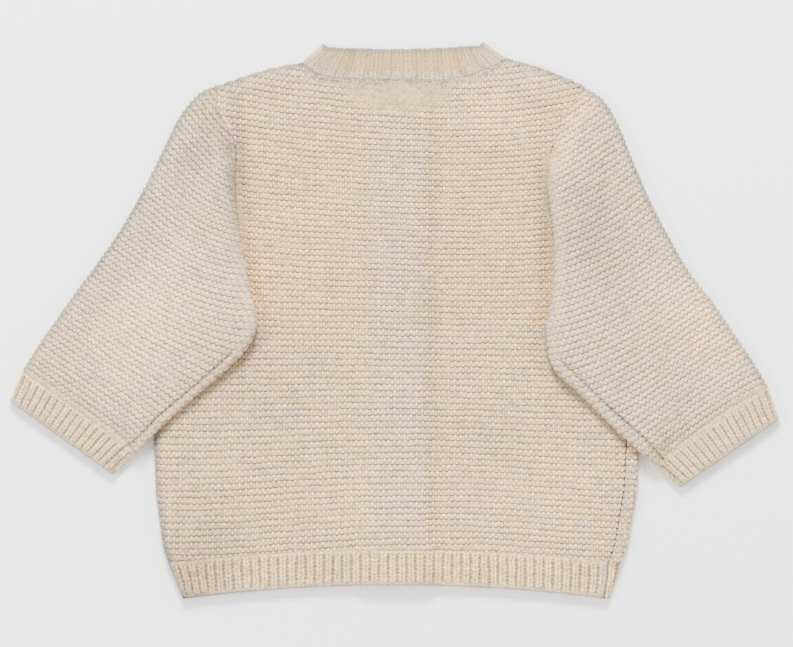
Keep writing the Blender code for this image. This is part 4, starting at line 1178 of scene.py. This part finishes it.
def make_sleeve(side):
    """A flattened tube: knitted top and underside that meet in round folds, plain inside."""
    garter = ARM[side]
    outer_fold, inner_fold = sleeve_outline(side)
    armhole_y = np.linspace(inner_fold[0, 1], outer_fold[0, 1], 60)
    armhole = np.column_stack([body_edge(armhole_y, side) + OUTWARD[side] * SEAM_GAP, armhole_y])
    outer_fold[0], inner_fold[0] = armhole[-1], armhole[0]
    cuff_end = np.array([outer_fold[-1], inner_fold[-1]])
    lines = [at_ridges(outer_fold, garter), resample(cuff_end, RIM_STEP),
             at_ridges(inner_fold, garter)[::-1], resample(armhole, RIM_STEP)]
    is_fold = [True, False, True, False]
    if side == RIGHT:
        lines, is_fold = [line[::-1] for line in lines[::-1]], is_fold[::-1]
    loop, starts, shared = join_lines(lines, is_fold)
    folds, ends = [Edge([(line, 0.0) for line, fold in zip(lines, is_fold) if fold == kind])
                   for kind in (True, False)]
    sewn, inner_edge, cuff_edge = [Edge([(line, 0.0)]) for line in (armhole, inner_fold, cuff_end)]
    seam = underarm(side)
    seam_edge = Edge([(seam, 0.0)], 0.0004)

    def level(p):
        return sleeve_level(*p.T, side) * ease(sewn.distance(p) / 0.013)

    def low_half(p):
        """Height of the folds' middle over the underside: next to the back's top where tucked in."""
        tucked = past(p[:, 1], 0.045, 0.030) * (1 - ease(inner_edge.distance(p) / 0.010))
        full = sleeve_fullness(p, side)
        beside = np.maximum(0.4 * full, LAYER + CLOTH - level(p))
        return full + tucked * (beside - full)

    def heights(p, up):
        near, end_distance = folds.near(p), ends.distance(p)
        thick = low_half(p)
        roll = sleeve_roll(p, side) if up > 0 else TURN
        full = 2 * sleeve_fullness(p, side) - thick if up > 0 else thick
        height = level(p) + thick + up * full * rounded(near[0], roll)
        if up > 0:
            crown = SLEEVE_CROWN * ease(near[0] / 0.014) + undulation(*p.T)
            height += (crown + soft_marks(*p.T, SLEEVE_CREASES[side])) * ease(end_distance / 0.012)
            wide = sleeve_level(*p.T, side, 0.034) * ease(sewn.distance(p) / 0.013)
            height += (wide - level(p)) * ease(end_distance / 0.030)
        return height, near

    def knitted(p, up):
        relief = garter.relief(*p.T) * RIDGE_DEPTH
        relief = relief + RIDGE_CREST if up > 0 else np.minimum(relief, 0.0)
        if up > 0:
            relief *= 1 - 0.5 * before(cuff_edge.distance(p), 0.001, 0.005)
            tucked = 0.35 + 0.25 * past(p[:, 1], 0.010, 0.020)
            relief *= 1 - tucked * before(inner_edge.distance(p), 0.005, 0.005)
            relief -= 0.85 * SEAM_DEPTH * np.exp(-(seam_edge.distance(p) / 0.0005) ** 2)
        return relief

    def clear(plan, from_folds, from_ends):
        return plan[(folds.distance(plan) > from_folds) & (ends.distance(plan) > from_ends)]

    top = clear(garter.lattice(loop), 0.0008, 0.0006)
    top = top[seam_edge.distance(top) > 0.0009]
    ring = np.concatenate([inset(line, 0.0004, 0.0009) for line, fold in zip(lines, is_fold) if fold])
    ring = clear(within(loop, ring), 0.0, 0.0006)
    ring = ring[np.abs(folds.distance(ring) - 0.0004) < 0.0001]
    rows = np.concatenate([seam, inset(seam, 0.0005, 0.0008), inset(seam, -0.0005, 0.0008)])
    top = np.concatenate([top, ring, clear(within(loop, rows), 0.0012, 0.0008)])
    bottom = np.concatenate([clear(spread(loop, 0.0020), 0.0009, 0.0009), ring])

    shell = Shell()
    sides = {}
    rim_relief = scallops(garter, loop) * np.where(inner_edge.distance(loop) < 0.0005, 0.5, 1.0)
    rim = loop + folds.near(loop)[1] * rim_relief[:, None]
    knit = garter.knit(loop)
    shared_ids = shell.add(np.column_stack([rim, level(loop) + low_half(loop)])[shared], knit[shared])
    for up, points in ((1.0, top), (-1.0, bottom)):
        ids = np.zeros(len(loop), int)
        ids[shared] = shared_ids
        cut = loop[~shared]
        ids[~shared] = shell.add(np.column_stack([cut, heights(cut, up)[0] + up * knitted(cut, up)]),
                                 knit[~shared])
        height, near = heights(points, up)
        raised = raise_knit(points, height, knitted(points, up), near, TURN, up)
        inner = shell.add(raised, garter.knit(points))
        shell.skin(ids, loop, inner, points)
        sides[up] = ids

    insets = [inset(line, CLOTH, 0.003) if fold else line for line, fold in zip(lines, is_fold)]
    inner_sides, inner_starts = add_lining(shell, insets, is_fold, side, level)
    for k in np.flatnonzero(~np.array(is_fold)):
        one, other = [np.arange(s[k], s[k + 1] + 1) % s[-1] for s in (starts, inner_starts)]
        for up in (1.0, -1.0):
            shell.strip(sides[up][one], inner_sides[up][other])
    node = "sleeve_" + SIDE_NAME[side]
    return shell.build("knit_" + node, GARTER_YARN, "garter_knit", node, sleeve_tint_and_painted_shade(side)), heights


def sleeve_fullness(plan, side):
    """Half the thickness of a flattened sleeve: fuller round the corner of its inner fold."""
    corner = SLEEVE[side][5][2:]
    far = np.linalg.norm(plan - corner, axis=1) / 0.028
    return TURN * (1 + 0.65 * np.exp(-far ** 2))


def sleeve_roll(plan, side):
    """Radius of the top's edge: wide at the armhole's end of the inner fold."""
    high = np.exp(-((plan[:, 1] - 0.095) / 0.034) ** 2)
    inner = ease((OUTWARD[side] * -plan[:, 0] + 0.128) / 0.012)
    return TURN * (1 + (1.9 if side == LEFT else 1.2) * high * inner)
    return TURN * (1 + (1.9 if side == LEFT else 1.2) * high * inner)


def add_lining(shell, lines, is_fold, side, level):
    """The plain inner side of a flattened sleeve, its ends as bent as the lines given for them."""
    lines = list(lines)
    shares = np.linspace(0, 1, 25)[:, None]
    for k in np.flatnonzero(~np.array(is_fold)):
        line, start, end = lines[k], lines[k - 1][-1], lines[(k + 1) % 4][0]
        bend = resample(line, 0.001)
        bend = read_line(bend, np.arange(len(bend)), np.linspace(0, len(bend) - 1, 25))
        lines[k] = start + (end - start) * shares + (bend - (line[0] + (line[-1] - line[0]) * shares))
    loop, starts, shared = join_lines(lines, is_fold)
    middle = level(loop) + sleeve_fullness(loop, side)
    shared_ids = shell.add(np.column_stack([loop, middle])[shared], (0, 0))
    points = spread(loop, COARSE)
    points = points[distance_to(lines, points, 0.0003) > 0.001]
    full = sleeve_fullness(points, side) - TURN + GAP / 2
    sides = {}
    for up in (1.0, -1.0):
        ids = np.zeros(len(loop), int)
        ids[shared] = shared_ids
        ids[~shared] = shell.add(np.column_stack([loop, middle + up * GAP / 2])[~shared], (0, 0))
        inner = shell.add(np.column_stack([points, level(points) + TURN + full + up * full]), (0, 0))
        shell.skin(ids, loop, inner, points)
        sides[up] = ids
    return sides, starts


# ---------------------------------------------------------------- ribs
def rib_shares(ribs, each=8):
    return np.arange(ribs * each + 1) / each


def toward_join(count, free):
    """Shares from the bound-off end to the join, closer together near both ends."""
    return np.array([0.0, free, *np.linspace(0.06, 0.80, count), *np.linspace(0.825, 0.975, 7), 0.99, 1.0])


def with_ends(count, free, joined=None):
    """Even shares of a length with one more line just inside each end."""
    joined = free if joined is None else joined
    return np.array([0.0, free, *np.linspace(0, 1, count)[1:-1], 1 - joined, 1.0])


def up_hem(x, shares):
    """y at shares of the way from the hem's foot to its seam."""
    foot, seam = hem_foot(x), hem_seam(x) - SEAM_GAP / 2
    return foot + (seam - foot) * shares[:, None]


def make_hem_back():
    shares = toward_join(12, 0.03)
    heights = HEM_SIDE + (HEM_JOIN - HEM_SIDE) * shares
    ribs = rib_shares(HEM_RIBS)
    left, right = body_edge(heights, LEFT), right_seam(heights)
    straight = left[-1] + (right[-1] - left[-1]) * ribs / HEM_RIBS
    x = (straight + (left - left[-1])[:, None] * np.exp(-(straight - left[-1]) / HEM_LEAN)
         + (right - right[-1])[:, None] * np.exp(-(right[-1] - straight) / HEM_LEAN))
    x[:, 0], x[:, -1] = left, right
    y = up_hem(x, shares)
    w, q = np.meshgrid(ribs - 0.5, shares * RIB_ROWS)
    part = np.repeat(shares[:, None], x.shape[1], axis=1)
    fade = rib_fade(w, part, RIB_START)
    w = w + 0.05 * soft_noise(x, y, 0.006, 11)
    relief = rib_ends(rib_relief(w, q, 0.45), fade, part, np.minimum(BODY.relief(x, y), 0.0))
    relief = into_garter(relief * (1 - 0.30 * np.exp(-(x - left[:, None]) / 0.03)), fade) + crests(fade)
    middle, outward = flat_wall(x, y, back_level(x, y))
    middle[0, :, 1] += relief[0] * 0.4
    # beside: painted grey shade at the hem's two ends, as at the panels' edges, plus the back's painted
    # shading
    beside = before(np.minimum(x - left[:, None], right[:, None] - x), 0.001, 0.003)
    tint = rib_tint_and_painted_shade(part, fade, warm=0.15, cool=0.8 * beside, calm=0.5 * beside,
                    dark=soft_marks(x, y, BACK_PAINTED_SHADING) + 0.35 * beside)
    return wall("hem_back", middle, outward, w, q, relief, ends=(0.45, 1.0), tint=tint)


def make_hem_front(side):
    shares = with_ends(8, 0.03)
    heights = HEM_SIDE + (HEM_JOIN - HEM_SIDE) * shares
    ribs = rib_shares(22, 6)
    edge = body_edge(heights, side) - (TURN + TURN_APPROACH if side == RIGHT else 0.0)
    x = edge[:, None] + (band_edge(side) - edge)[:, None] * ribs / ribs[-1]
    middle, outward = flat_wall(x, 0 * x, front_level(x, side), -1.0)
    w = np.repeat(ribs[None, :], len(shares), axis=0) - 0.5
    if side == RIGHT:
        turned_x, turned_z, out_x, out_z = [part[:, ::-1] for part in turned_edge(heights, 12)]
        middle = np.concatenate([np.stack([turned_x, 0 * turned_x, turned_z], axis=-1), middle], axis=1)
        outward = np.concatenate([np.stack([out_x, 0 * out_x, out_z], axis=-1), outward], axis=1)
        w = np.concatenate([w[:, :1] - np.arange(12, 0, -1) / 6, w], axis=1)
    middle[..., 1] = up_hem(middle[..., 0], shares)
    q = np.repeat(shares[:, None] * RIB_ROWS, w.shape[1], axis=1)
    return wall("hem_front_" + SIDE_NAME[side], middle, outward, w, q, rib_relief(w, q) * RIB_DEPTH)


def make_cuff(side):
    """A flattened tube of rib from the sleeve's end to the mouth."""
    start, mouth = SLEEVE[side][-1], np.array(CUFF_MOUTH[side])
    length = np.linalg.norm((mouth - start)[:2])
    shares = SEAM_GAP / length + (1 - toward_join(11, 0.03)[::-1]) * (1 - SEAM_GAP / length)
    rings = start + (mouth - start) * shares[:, None]
    lines = CUFF_RIBS * 8 + 1
    turns = 7
    kinds = ([("bottom", s, 0.0) for s in np.linspace(0, 1, lines)]
             + [("inner", 1.0, pi * (k / (turns + 1) - 0.5)) for k in range(1, turns + 1)]
             + [("top", s, 0.0) for s in np.linspace(1, 0, lines)]
             + [("outer", 0.0, pi * (0.5 - k / (turns + 1))) for k in range(1, turns + 1)])
    middle = np.zeros((len(rings), len(kinds), 3))
    outward = np.zeros_like(middle)
    for r, ring in enumerate(rings):
        outer, inner = ring[:2], ring[2:]
        width = np.linalg.norm(inner - outer)
        across = (inner - outer) / width
        for c, (kind, share, angle) in enumerate(kinds):
            bulge = TURN_MIDDLE * np.cos(angle) * {"inner": 1.0, "outer": -1.0}.get(kind, 0.0)
            plan = outer + across * (TURN + (width - 2 * TURN) * share + bulge)
            level = float(sleeve_level(plan[0], plan[1], side))
            height = {"bottom": CLOTH / 2, "top": CLOTH / 2 + LAYER}.get(kind)
            if height is None:
                height = TURN + TURN_MIDDLE * np.sin(angle)
                sign = 1.0 if kind == "inner" else -1.0
                outward[r, c] = (*(across * np.cos(angle) * sign), np.sin(angle))
            else:
                outward[r, c, 2] = 1.0 if kind == "top" else -1.0
            middle[r, c] = (plan[0], plan[1], level + height)
    x, y = middle[..., 0], middle[..., 1]
    w, q = np.meshgrid(np.arange(len(kinds)) / 8.0 - 0.5, shares * RIB_ROWS)
    w = w + 0.05 * soft_noise(x, y, 0.006, 12)
    part = np.repeat(1 - shares[:, None], len(kinds), axis=1)
    fade = rib_fade(w, part, RIB_START)
    relief = rib_ends(rib_relief(w, q, 0.34 if side == LEFT else 0.44), fade, part,
                      0.55 * np.minimum(ARM[side].relief(x, y), 0.0))
    from_seam = distance_to([underarm(side)], middle[..., :2].reshape(-1, 2), 0.0004).reshape(x.shape)
    drawn = np.exp(-(from_seam / 0.0009) ** 2) * (outward[..., 2] > 0.5)
    relief = into_garter(relief, fade) + crests(fade) * (outward[..., 2] > -0.5) - 0.0004 * drawn
    tint = rib_tint_and_painted_shade(part, fade, 0.17, cool=0.30, calm=0.15, dark=0.08 + 0.30 * drawn)
    return wall("cuff_" + SIDE_NAME[side], middle, outward, w, q, relief, closed=True,
                ends=(1.0, 0.45), tint=tint)


NECK_LINES = with_ends(12, 0.012, 0.05)


def neck_section(row, level, up):
    """One line of points across the neckband, and the way out there."""
    join, free = row[:2], row[2:]
    across = (free - join) / np.linalg.norm(free - join)
    start = join + across * SEAM_GAP
    plan = start + across * np.linalg.norm(free - start) * NECK_LINES[:, None]
    points = np.column_stack([plan, np.full(len(plan), level + CLOTH / 2)])
    return points, np.tile((0.0, 0.0, up), (len(plan), 1))


def neck_fold(row, side, count):
    """The sections where the neckband turns from front to back over the shoulder."""
    across, away = neck_frame(row, side)
    sections = []
    for angle in np.linspace(-pi / 2, pi / 2, count + 2)[1:-1]:
        points, directions = neck_section(row, 0.0, 1.0)
        points[:, :2] += away * TURN_MIDDLE * np.cos(angle)
        points[:, 2] = TURN + TURN_MIDDLE * np.sin(angle)
        directions[:] = (*(away * np.cos(angle)), np.sin(angle))
        sections.append((points, directions))
    return sections


def neck_front(side, shares):
    """The sections of the neckband's front part, under the shoulder's."""
    sections = []
    for row in smooth_rows(NECK_FRONT[side], shares):
        points, directions = neck_section(row, 0.0, -1.0)
        points[:, 2] += front_level(points[:, 0], side)
        sections.append((points, directions))
    return sections


def make_neckband():
    fold, each = 8, 8
    front = np.sort(np.append(np.linspace(0, 1, 97)[1:], 1 - 0.012))
    folded = np.arange(1, fold + 1) / (fold + 1)
    rows = smooth_rows(NECK_BACK, np.linspace(0, 1, NECK_RIBS * each + 1))
    sections = (neck_front(LEFT, front[::-1]) + neck_fold(NECK_BACK[0], LEFT, fold)
                + [neck_section(row, LAYER, 1.0) for row in rows]
                + neck_fold(NECK_BACK[-1], RIGHT, fold)[::-1] + neck_front(RIGHT, front))
    ribs = np.concatenate([-1.0 - front[::-1] * 12, -1.0 + folded, rib_shares(NECK_RIBS, each),
                           NECK_RIBS + folded, NECK_RIBS + 1.0 + front * 12])
    middle, outward = [np.array(parts) for parts in zip(*sections)]
    x, y = middle[..., 0], middle[..., 1]
    q = 0.25 + 0.12 * soft_noise(x, y, 0.004, 51)
    w = (ribs[:, None] - 0.5) * 2 + 0.5 + 0.12 * soft_noise(x, y, 0.007, 52)
    part = np.repeat(1 - NECK_LINES[None, :], len(w), axis=0)
    fade = rib_fade(w, part, 0.97)
    relief = rib_ends(rib_relief(w, q, 0.0, 0.0), fade, part, foot=0.16) * RIB_DEPTH
    relief = relief * (0.24 + 0.12 * soft_noise(x, y, 0.009, 53)) + RIB_CREST * (outward[..., 2] > -0.5)
    middle[:, -2:, 1] += 0.0003 * soft_noise(x, y, 0.0012, 54)[:, -1:] * (outward[:, -1:, 2] > 0.9)
    picked = past(part, 0.72, 0.12)
    grey = np.maximum(past(np.abs(x - 0.0060), 0.032, 0.020), 0.8 * picked)
    tint = rib_tint_and_painted_shade(part, fade, 0.22, warm=0.60 * (1 - grey), cool=0.6 * grey, calm=0.85,
                    dark=0.41 + 0.40 * picked * soft_noise(x, y, 0.0009, 62))
    return wall("neckband", middle.swapaxes(0, 1), outward.swapaxes(0, 1), w.T, q.T, relief.T,
                ends=(1.0, 0.45), tint=tint.swapaxes(0, 1))


# ---------------------------------------------------------------- bands and buttons
def button_places():
    foot = float(hem_foot(np.array(BAND_MIDDLE)))
    return np.linspace(BAND_TOP - BUTTON_END_MARGIN, foot + BUTTON_END_MARGIN, BUTTON_COUNT)


def dent(distance):
    """How far the right band is pressed in round a button, as a share."""
    return ease((BUTTON_RADIUS + DENT_WIDTH - distance) / DENT_WIDTH)


def make_band(side):
    """A button band in rib along its length; the right one is dented round its buttons."""
    ribs = rib_shares(5, 8)
    x = BAND_MIDDLE - BAND_HALF + 2 * BAND_HALF * ribs / ribs[-1]
    foot = hem_foot(x)
    along = with_ends(190, 0.004)
    y = foot + (BAND_TOP - foot) * along[:, None]
    x = np.repeat(x[None, :], len(along), axis=0)
    middle, outward = flat_wall(x, y, np.full_like(x, LAYER if side == LEFT else 0.0), -1.0)
    w, q = np.meshgrid(ribs - 0.5, along * 100)
    relief = rib_relief(w, q) * RIB_DEPTH * 0.6
    if side == RIGHT:
        for place in button_places():
            pressed_in = dent(np.hypot(x - BAND_MIDDLE, y - place))
            relief = relief * (1 - pressed_in) - DENT_DEPTH * pressed_in
    return wall("band_" + SIDE_NAME[side], middle, outward, w, q, relief)


def make_button(number, place):
    """A button with a dished face on each side, a rounded rim and four thread holes."""
    middle = np.array([BAND_MIDDLE, place])
    corners = np.array([(x, y) for x in (-1, 1) for y in (-1, 1)]) * BUTTON_HOLE_SPREAD
    turn = 2 * pi * np.arange(20) / 20
    circle = np.column_stack([np.cos(turn), np.sin(turn)])
    holes = [corner + circle * BUTTON_HOLE for corner in corners]
    collars = [corner + circle * (BUTTON_HOLE + 0.00015) for corner in corners]
    turns = 72
    around = 2 * pi * np.arange(turns) / turns
    around = np.column_stack([np.cos(around), np.sin(around)])
    rings = [around * r for r in (0.0038, 0.0041, 0.0044, 0.0048, 0.0054, 0.0060, 0.0064, 0.0067, 0.0069)]
    inner = spread(around * 0.0037, 0.0005)
    inner = inner[np.hypot(*inner.T) < 0.0036]
    apart = np.min([np.hypot(*(inner - corner).T) for corner in corners], axis=0)
    inner = inner[apart > BUTTON_HOLE + 0.0004]
    plan = np.concatenate([around * BUTTON_RADIUS, *holes, *collars, *rings, inner])
    distance = np.hypot(*plan.T)
    hole_rows = [turns + 20 * k + np.arange(20) for k in range(4)]
    dish = 0.00045 * before(distance, 0.0038, 0.0012)
    edge = BUTTON_THICK / 2 * (1 - rounded(BUTTON_RADIUS - distance, 0.0007))
    sunk = dish + edge
    for rows in hole_rows:
        sunk[rows] += 0.0001
    made = delaunay_2d_cdt([Vector(p) for p in plan * 100],
                           [(int(a), int(b)) for rows in hole_rows for a, b in zip(rows, np.roll(rows, -1))],
                           [], 0, 1e-9)
    triangles = np.array([o[0] for o in made[3]])[np.array(made[2])]
    centres = plan[triangles].mean(axis=1)
    kept = np.min([np.hypot(*(centres - corner).T) for corner in corners], axis=0) > BUTTON_HOLE * 0.98
    shell = Shell()
    sides = []
    for up in (1.0, -1.0):
        height = BUTTON_FLOOR_GAP + BUTTON_THICK / 2 + up * (BUTTON_THICK / 2 - sunk)
        if up < 0:
            height[:turns] = BUTTON_FLOOR_GAP + BUTTON_THICK / 2
        ids = shell.add(np.column_stack([plan + middle, height]), (0, 0))
        if sides:
            ids[:turns] = sides[0][:turns]
        shell.faces.append(ids[triangles[kept]])
        sides.append(ids)
    for rows in hole_rows:
        shell.grid(np.stack([sides[0][rows], sides[1][rows]]), closed=True)
    name = "button_%d" % number
    return shell.build(name + "_four_hole", BUTTON_CREAM, "button", name)


def make_button_threads():
    """Two pairs of strands over each button, through its holes."""
    shell = Shell()
    low = BUTTON_FLOOR_GAP + 0.00045
    for place in button_places():
        for side in (-1.0, 1.0):
            for shift in (-0.0002, 0.0002):
                x = BAND_MIDDLE + side * BUTTON_HOLE_SPREAD + shift
                path = [(x, place + BUTTON_HOLE_SPREAD * share, height)
                        for share, height in ((-1.0, 0.0010), (-0.9, low + 0.0002), (-0.5, low),
                                              (0.5, low), (0.9, low + 0.0002), (1.0, 0.0010))]
                add_yarn(shell, path, 0.00016)
    return shell.build("button_threads", RIB_YARN, "rib_knit")


def make_buttonholes():
    """Buttonhole stitch round a slit across the right band, longer than its button."""
    shell = Shell()
    for place in button_places():
        middle = np.array([BAND_MIDDLE, place])
        for angle in 2 * pi * np.arange(64) / 64:
            rim = np.array([BUTTONHOLE_HALF * np.cos(angle), 0.0007 * np.sin(angle)])
            out = np.array([0.25 * np.cos(angle), np.sin(angle)])
            out /= np.linalg.norm(out)
            sunk = DENT_DEPTH * float(dent(np.hypot(*rim)))
            path = [(*(middle + rim + out * a), sunk + b)
                    for a, b in ((0.0, 0.0011), (0.0003, 0.0004), (0.0012, 0.0003), (0.0016, 0.0009))]
            add_yarn(shell, path, 0.00026)
    return shell.build("buttonholes", RIB_YARN, "rib_knit")


# ---------------------------------------------------------------- sewing
def add_yarn(shell, path, radius, sides=6):
    """One strand of yarn along a path, with closed ends."""
    path = np.asarray(path, float)
    way = unit(np.gradient(path, axis=0))
    side = unit(np.cross(way, (0.0, 0.0, 1.0)))
    up = np.cross(side, way)
    angles = 2 * pi * np.arange(sides) / sides
    shares = np.full(len(path), 1.0)
    shares[0] = shares[-1] = 0.45
    rings = (path[:, None] + radius * shares[:, None, None]
             * (np.cos(angles)[None, :, None] * side[:, None] + np.sin(angles)[None, :, None] * up[:, None]))
    ids = shell.add(rings, (0, 0)).reshape(len(path), sides)
    shell.grid(ids, closed=True)
    for ring in (ids[0], ids[-1]):
        shell.faces.append(np.array([(ring[0], ring[k], ring[k + 1]) for k in range(1, sides - 1)]))


def stitch_path(middle, along, across, height, spots):
    """Points of a stitch: how far along, across and up each of them is from its middle."""
    return [(*(middle + along * a + across * b), height + c) for a, b, c in spots]


def make_neck_stitches():
    """Stitches picked up from the back into the neckband: uneven rows of small Vs."""
    shell = Shell()
    draw = np.random.default_rng(3)
    curve = smooth_rows(NECK_BACK, np.linspace(0, 1, 300))[:, :2]
    shades = []
    line = resample(curve, 0.0011)
    way, up = ways(line)
    for k in range(1, len(line) - 1):
        middle = line[k] + up[k] * draw.uniform(-0.0002, 0.0002)
        shades.extend([draw.uniform(-0.2, 0.25)] * 18)
        spots = (-0.0008, -0.0001, 0.0), (0.0, 0.0001, RIDGE_CREST), (0.0008, -0.0001, 0.0)
        add_yarn(shell, stitch_path(middle, way[k], up[k], LAYER + CLOTH, spots), NECK_YARN_RADIUS)
    line = resample(curve, 0.00200)
    way, up = ways(line)
    for row, (offset, reach) in enumerate(((0.0036, 0.40), (0.0022, 0.65), (0.0008, 0.80), (-0.0008, 0.85),
                                           (-0.0024, 0.75), (-0.0040, 0.50))):
        for k in range(1, len(line) - 1):
            off, skip = draw.uniform(-0.0005, 0.0005, 2), draw.uniform()
            shade = draw.uniform(-0.35, 0.75)
            if skip > reach:
                continue
            middle = line[k] + up[k] * (offset + off[0]) + way[k] * (0.00100 * (row % 2) + off[1])
            for hand in (-1.0, 1.0):
                spots = [(hand * 0.00058, 0.0006, -0.0004), (hand * 0.00046, 0.0003, 0.0001),
                         (hand * 0.00028, -0.0002, 0.0001), (hand * 0.00012, -0.0006, -0.0005)]
                path = stitch_path(middle, way[k], up[k], LAYER + CLOTH + RIDGE_CREST - 0.0002, spots)
                add_yarn(shell, path, NECK_YARN_RADIUS)
                shades.extend([shade] * 24)

    def tint(points):
        dark = np.array(shades)
        return np.column_stack([0 * dark, 0 * dark + 0.75, 0 * dark + 0.2, dark])
    return shell.build("neck_stitches", RIB_YARN, "rib_knit", tint=tint)


def make_seam_stitches(sleeve_heights):
    """Short stitches that draw the underarm seams together, and the edges of back and fronts."""
    shell = Shell()
    for side in (LEFT, RIGHT):
        line = resample(underarm(side), 0.0031)[1:-1]
        way, up = ways(line)
        tops = sleeve_heights[side](line, 1.0)[0]
        for spot, along, across, top in zip(line, way, up, tops):
            spots = [(a * 0.6, a, c) for a, c in ((-0.0008, -0.0006), (-0.0004, -0.0005), (0.0004, -0.0005),
                                                  (0.0008, -0.0006))]
            add_yarn(shell, stitch_path(spot, along, across, top, spots), YARN_RADIUS)
    side_line = line_at_edge(HEM_JOIN, 0.0, body_edge, LEFT)
    for line, sign in ((shoulder_line(LEFT, 60), 1.0), (shoulder_line(RIGHT, 60), -1.0), (side_line, 1.0)):
        line = resample(line, 0.0024)[1:-1]
        way, out = ways(line)
        for spot, along, across in zip(line, way, out * sign):
            spots = ((-0.0004, -0.0006, 0.0016), (-0.0002, 0.0, 0.0007), (0.0002, 0.0, -0.0007),
                     (0.0004, -0.0006, -0.0016))
            add_yarn(shell, stitch_path(spot, along, across, LAYER - GAP / 2, spots), YARN_RADIUS)
    return shell.build("seam_stitches", RIB_YARN, "garter_knit")


# ---------------------------------------------------------------- stage, light and camera
def make_stage():
    mesh = bpy.data.meshes.new("floor")
    corners = [(x, y, -FLOOR_DROP) for x, y in ((-3.0, -3.0), (3.0, -3.0), (3.0, 3.0), (-3.0, 3.0))]
    mesh.from_pydata(corners, [], [(0, 1, 2, 3)])
    paper = Graph("floor_paper", {"Base Color": (0.97, 0.97, 0.97, 1), "Roughness": 0.9})
    mesh.materials.append(paper.material)
    add_object("floor", mesh)


def add_light(name, place, power):
    """A soft round lamp that points at the garment."""
    data = bpy.data.lights.new(name, "AREA")
    data.shape = "DISK"
    data.size = 0.7
    data.energy = power
    lamp = add_object(name, data)
    lamp.location = place
    lamp.rotation_mode = "QUATERNION"
    lamp.rotation_quaternion = (-Vector(place)).to_track_quat("-Z", "Y")


def make_camera():
    """Straight above, far away, framed as the photograph."""
    distance, width = 2.4, 793 * 0.0006
    data = bpy.data.cameras.new("camera")
    data.sensor_width = 36.0
    data.lens = 36.0 * distance / width
    data.clip_start = 0.1
    data.clip_end = 20.0
    camera = add_object("camera", data)
    camera.location = (0.0012, -0.0018, distance + 0.006)
    bpy.context.scene.camera = camera


world = bpy.data.worlds.new("soft_room")
world.use_nodes = True
background = world.node_tree.nodes["Background"].inputs
background["Color"].default_value = (1.0, 1.0, 1.0, 1)
background["Strength"].default_value = 1.45
bpy.context.scene.world = world
add_light("key", (-0.10, 1.75, 1.55), 150.0)
add_light("left", (-1.80, -0.10, 1.50), 40.0)
add_light("right", (1.80, -0.10, 1.50), 15.0)
make_stage()
make_camera()

# ---------------------------------------------------------------- the cardigan
back = make_back()
fronts = [make_front(side) for side in (LEFT, RIGHT)]
sleeves, sleeve_heights = zip(*[make_sleeve(side) for side in (LEFT, RIGHT)])
hem_back = make_hem_back()
hem_fronts = [make_hem_front(side) for side in (LEFT, RIGHT)]
cuffs = [make_cuff(side) for side in (LEFT, RIGHT)]
neckband = make_neckband()
bands = [make_band(side) for side in (LEFT, RIGHT)]
for number, place in enumerate(button_places(), 1):
    make_button(number, place)
make_button_threads()
make_buttonholes()
make_neck_stitches()
make_seam_stitches(sleeve_heights)
